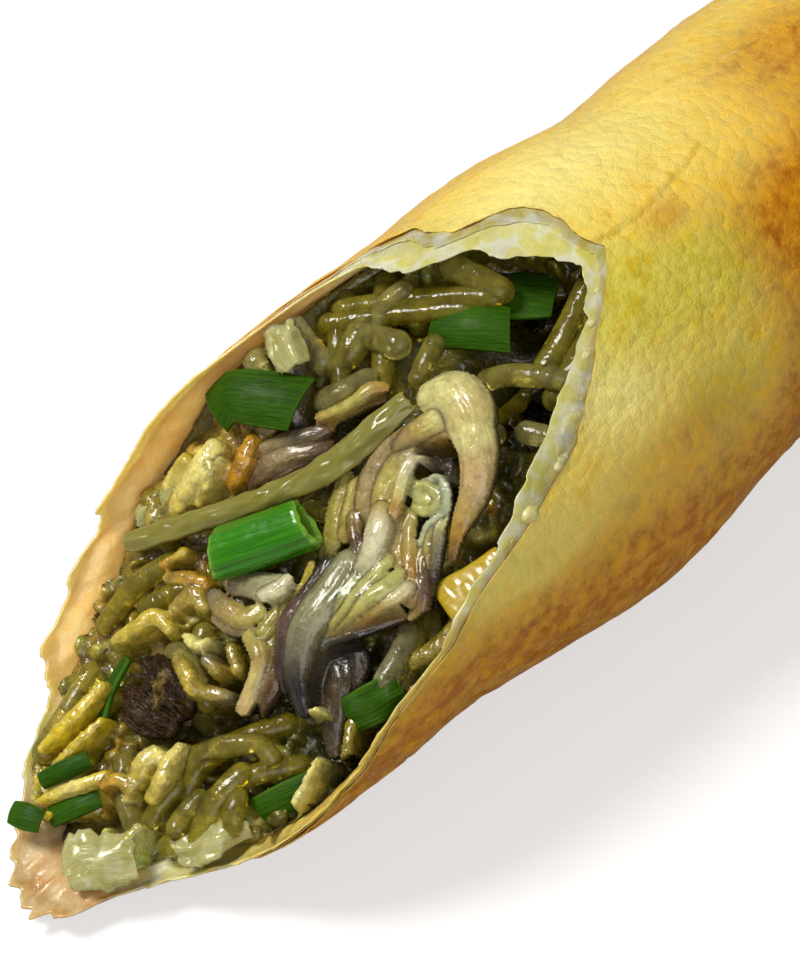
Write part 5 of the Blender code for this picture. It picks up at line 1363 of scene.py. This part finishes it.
def onion_ring():
    start, end = mouth_point(-2.6, -5.1, 2.9), mouth_point(3.8, -0.2, 3.4)
    ahead, side, over = mouth_axes(start, end)
    length = (end - start).length
    points, grain, rim = [], [], []
    rings = [(k, False) for k in range(RING_RINGS)] + [(k, True) for k in reversed(range(RING_RINGS))]
    for k, inner in rings:
        t, at_end = k / (RING_RINGS - 1), k in (0, RING_RINGS - 1)
        less = RING_WALL - 0.06 * at_end if inner else 0.12 * at_end
        for j in range(RING_AROUND):
            turn = math.tau * j / RING_AROUND
            c, s = math.cos(turn), math.sin(turn)
            radius = RING_RADIUS + 0.05 * math.cos(turn * 11) + 0.08 * speckle(c * 1.5, s * 1.5, t) - less
            slant = 0.5 * c * (1 - 2 * t) * (2 * t - 1) ** 2 + 0.25 * speckle(c * 2, s * 2, 5.0 + t) * at_end
            points.append(start + ahead * (t * length + slant) + side * c * radius * 1.12
                          + over * s * radius * 0.95)
            grain.append((t * length, turn * RING_RADIUS))
            rim.append(1.0 if inner or at_end else 0.35 * (2 * t - 1) ** 8)
    faces = []
    for k in range(len(rings)):
        for j in range(RING_AROUND):
            n, m = (j + 1) % RING_AROUND, (k + 1) % len(rings)
            faces.append((k * RING_AROUND + j, k * RING_AROUND + n, m * RING_AROUND + n, m * RING_AROUND + j))
    return mesh_piece("onion_tube_cut", points, faces, {"rim": rim}, grain=grain)


tube_finish = fibrous("onion_tube", 3.0, 0.15, 0.6, ((0.016, 0.13, 0.0004), (0.045, 0.26, 0.001)),
                      (0.8, (0.20, 0.42, 0.03)), (0.08, 0.3, 900.0), (0.2, 0.7),
                      subsurface=0.2, reach=1.0, tone=(0.4, 1.0, 0.1), coat=0.35, coat_rough=0.07,
                      specular=0.4)
dress(onion_ring(), tube_finish, "spring_onion", "onion_tube")

# %% [markdown]
# ## Cabbage, noodle ribbon and bamboo
# Boiled cabbage is a pale, limp, see-through sheet, so it gets a strong subsurface share. The flat
# noodle is clearer still and takes a little transmission. The bamboo strip is opaque and woody.
# %% Cabbage
CABBAGE = {
    "cabbage_tip": (((-29.2, 1.4, 1.4, 1.8, 0), (-27.2, 2.6, 1.8, 2.4, 8),
        (-24.6, 4.9, 1.4, 1.7, 12)), 0.5, 0.6),
    "cabbage_low": (((-22.6, 7.4, 0.0, 1.2, -8), (-20.2, 8.6, 0.3, 1.5, 0),
        (-17.2, 9.9, -0.3, 1.2, 8)), 0.4, 0.7),
    "cabbage_rim": (((15.0, -14.0, 3.6, 1.0, 0), (13.8, -12.0, 4.0, 1.5, 0),
        (12.6, -9.6, 3.4, 1.3, 0)), 0.4, 0.8),
    "cabbage_side": (((-4.8, -14.6, -1.0, 1.2, 12), (-1.4, -12.9, -0.4, 1.7, 0),
        (1.6, -11.9, -0.2, 1.2, 0)), 0.6, 0.7),
}
cabbage_finish = fibrous(
    "boiled_cabbage", 2.2, 0.4, 0.5,
    (((0.36, 0.32, 0.05), (0.54, 0.51, 0.20), 450.0, 0.45), (0.60, 0.60, 0.34)),
    None, (0.1, 0.36, 700.0), (0.3, 0.7),
    subsurface=0.5, reach=1.6, tone=(1.0, 0.9, 0.4), coat=0.5, coat_rough=0.1, transmission=0.25, ior=1.36)
for k, (name, (stations, curl, ripple)) in enumerate(CABBAGE.items()):
    piece = thin_sheet(name + "_shred", stations, 0.5, curl, ripple, ragged=0.45, seed=11.0 + k)
    dress(piece, cabbage_finish, "cabbage", name)

# %% The clear flat noodle
RIBBON = ((16.0, 0.4, 4.0, 0.9, -14), (13.6, -0.2, 3.9, 1.05, -14), (11.0, -0.9, 3.6, 1.15, -10),
          (8.5, -1.7, 3.3, 1.15, -6), (6.2, -2.9, 3.0, 1.05, -2), (4.1, -4.3, 2.8, 0.95, 0),
          (2.1, -5.7, 2.6, 0.9, 4), (-0.3, -7.7, 2.2, 0.9, 6), (-2.7, -9.9, 1.6, 0.95, 8),
          (-5.2, -12.0, 1.0, 0.95, 8), (-6.6, -13.4, 0.7, 0.8, 8))
ribbon_finish = fibrous(
    "clear_ribbon", 1.2, 0.2, 0.4, ((0.27, 0.25, 0.04), (0.40, 0.38, 0.13)), (0.6, (0.50, 0.44, 0.12)),
    (0.08, 0.26, 900.0), (0.25, 0.7),
    subsurface=0.35, reach=1.4, tone=(1.0, 0.9, 0.4), coat=0.4, coat_rough=0.08, transmission=0.35, ior=1.36,
    specular=0.4)
dress(thin_sheet("noodle_ribbon_clear", RIBBON, 0.55, 0.5, 0.35, ragged=0.25, seed=21.0), ribbon_finish,
      "noodle", "noodle_ribbon")

# %% Bamboo: a slab cut square, with softened edges
SLAB_AROUND, SLAB_RINGS, SLAB_LENGTH = 40, 40, 9.0


def bamboo_slab():
    start, end = mouth_point(11.2, 13.9, 1.2), mouth_point(5.2, 12.3, 0.8)
    ahead, side, over = mouth_axes(start, end)
    points, grain = [], []
    for k in range(SLAB_RINGS):
        t = k / (SLAB_RINGS - 1)
        inset = 0.35 * math.exp(-min(t, 1 - t) * 40)
        wide, thick, wave = 1.2 - inset + 0.9 * t, 0.95 - inset, 0.15 * math.sin(t * 4.0)
        for j in range(SLAB_AROUND):
            turn = math.tau * (j + 0.5) / SLAB_AROUND
            c, s = math.cos(turn), math.sin(turn)
            size = (abs(c) ** 4 + abs(s) ** 4) ** (-1 / 4)
            rough = 0.06 * speckle(t * 14, c * 2, s * 2)
            points.append(start + (end - start) * t + side * (c * size * wide + rough + wave)
                          + over * (s * size * thick + rough))
            grain.append((t * SLAB_LENGTH, turn * 1.4))
    points += [start - ahead * 0.1, end + ahead * 0.1]
    grain += [(0.0, 0.0), (SLAB_LENGTH, 0.0)]
    return mesh_piece("bamboo_cut", points, tube_faces(SLAB_RINGS, SLAB_AROUND), grain=grain)


bamboo_finish = fibrous("bamboo_shoot", 2.6, 0.2, 1.0, ((0.42, 0.29, 0.012), (0.49, 0.35, 0.02)), None,
                        (0.14, 0.42, 800.0), (0.12, 0.5),
                        subsurface=0.35, reach=1.4, tone=(1.0, 0.8, 0.3), coat=0.5, coat_rough=0.12)
dress(bamboo_slab(), bamboo_finish, "bamboo", "bamboo_strip")

# %% [markdown]
# ## Mushroom
# The dark lump near the tip is chopped black mushroom: crumbly, brown-black, with a cream fleck of
# gill. It is a laid relief too, only much rougher.
# %% Mushroom
MUSHROOM_DARK, MUSHROOM_PALE = (0.030, 0.014, 0.002), (0.16, 0.11, 0.03)
MUSHROOM_FOLDS = (
    ((MUSHROOM_DARK, MUSHROOM_DARK), ((-12.6, -4.2, 1.8, 1.2), (-13.2, -2.4, 2.6, 1.9),
        (-13.6, -0.4, 2.0, 1.3))),
    ((MUSHROOM_DARK, MUSHROOM_DARK), ((-15.4, -4.0, 1.8, 1.2), (-15.8, -2.2, 2.5, 1.8),
        (-15.4, -0.4, 1.8, 1.2))),
    ((MUSHROOM_PALE, MUSHROOM_PALE), ((-12.6, -2.6, 2.8, 0.4), (-13.6, -2.0, 3.0, 0.5),
        (-14.6, -1.4, 2.8, 0.4))),
)
mushroom = folded("mushroom_chopped", MUSHROOM_FOLDS, (-20.0, -9.0), (-8.0, 3.0), 0.3, 0.9, (1, 1))
mushroom_finish, tree, shader = new_finish("black_mushroom", coat=0.08, coat_rough=0.2, specular=0.25)
dots = mottled(tree, (0.35, 0.3, 0.25), (1.6, 1.5, 1.2), 1300.0, 0.3)
colour = blend_colours(tree, 1.0, tint_of(tree), dots, "MULTIPLY")
join_surface(tree, shader, colour, (0.2, 0.6, 1500.0), (0.4, 1.0))
dress(mushroom, mushroom_finish, "mushroom", "mushroom")
# %% [markdown]
# ## Floor, light and camera
# The photograph has a blank white ground and soft daylight from the upper left and behind. A large
# soft lamp there makes the highlights on the wet filling, a weak one fills the near side, and a
# pale world lifts the shadows. The camera looks down at about fifty degrees.
# %% The floor
FLOOR_HALF = 3.0  # metres
corners = [(x * FLOOR_HALF, y * FLOOR_HALF, 0) for x, y in ((-1, -1), (1, -1), (1, 1), (-1, 1))]
floor_mesh = bpy.data.meshes.new("floor")
floor_mesh.from_pydata(corners, [], [(0, 1, 2, 3)])
floor = bpy.data.objects.new("floor", floor_mesh)
bpy.context.scene.collection.objects.link(floor)
floor_finish, tree, shader = new_finish("pale_floor", specular=0.1)
tint = mottled(tree, (0.50, 0.50, 0.50), (0.53, 0.53, 0.53), 4.0, 0.5)
seen = add_node(tree, "ShaderNodeLightPath").outputs["Is Camera Ray"]
tree.links.new(blend_colours(tree, seen, (0.5, 0.5, 0.5), tint), shader.inputs["Base Color"])
tree.links.new(blend_colours(tree, seen, (0, 0, 0), tint), shader.inputs["Emission Color"])
shader.inputs["Emission Strength"].default_value = 1.05
shader.inputs["Roughness"].default_value = 0.9
floor.data.materials.append(floor_finish)


# %% Lamps and the pale world
def soft_lamp(name, place_at, aim_at, size, power, colour):
    lamp = bpy.data.lights.new(name, "AREA")
    lamp.shape, lamp.size, lamp.energy, lamp.color = "DISK", size, power, colour
    obj = bpy.data.objects.new(name, lamp)
    bpy.context.scene.collection.objects.link(obj)
    obj.location = place_at
    obj.rotation_euler = (Vector(place_at) - Vector(aim_at)).to_track_quat("Z", "Y").to_euler()
    return obj


middle = (-0.01, 0.0, 0.015)
soft_lamp("key", (-0.22, 0.26, 0.52), middle, 0.22, 3.5, (1.0, 0.98, 0.95))
soft_lamp("fill", (-0.30, -0.45, 0.40), middle, 0.5, 1.6, (1.0, 0.98, 0.96))
world = bpy.data.worlds.new("pale_world")
bpy.context.scene.world = world
world.use_nodes = True
world.node_tree.nodes["Background"].inputs["Color"].default_value = (1, 1, 1, 1)
world.node_tree.nodes["Background"].inputs["Strength"].default_value = 0.24
bpy.context.scene.view_settings.view_transform = "Standard"

# %% The camera
camera_data = bpy.data.cameras.new("camera")
camera_data.lens, camera_data.sensor_width, camera_data.sensor_fit = 135, 36, "AUTO"
camera_data.clip_start = 0.001
camera = bpy.data.objects.new("camera", camera_data)
bpy.context.scene.collection.objects.link(camera)
bpy.context.scene.camera = camera
back = Vector((-0.4465, -0.4624, 0.7660)).normalized()
right = Vector((0.719, -0.695, 0.0)).normalized()
upward = back.cross(right)
camera.matrix_world = Matrix(((right.x, upward.x, back.x, -0.14679), (right.y, upward.y, back.y, -0.13289),
                              (right.z, upward.z, back.z, 0.23826), (0, 0, 0, 1)))
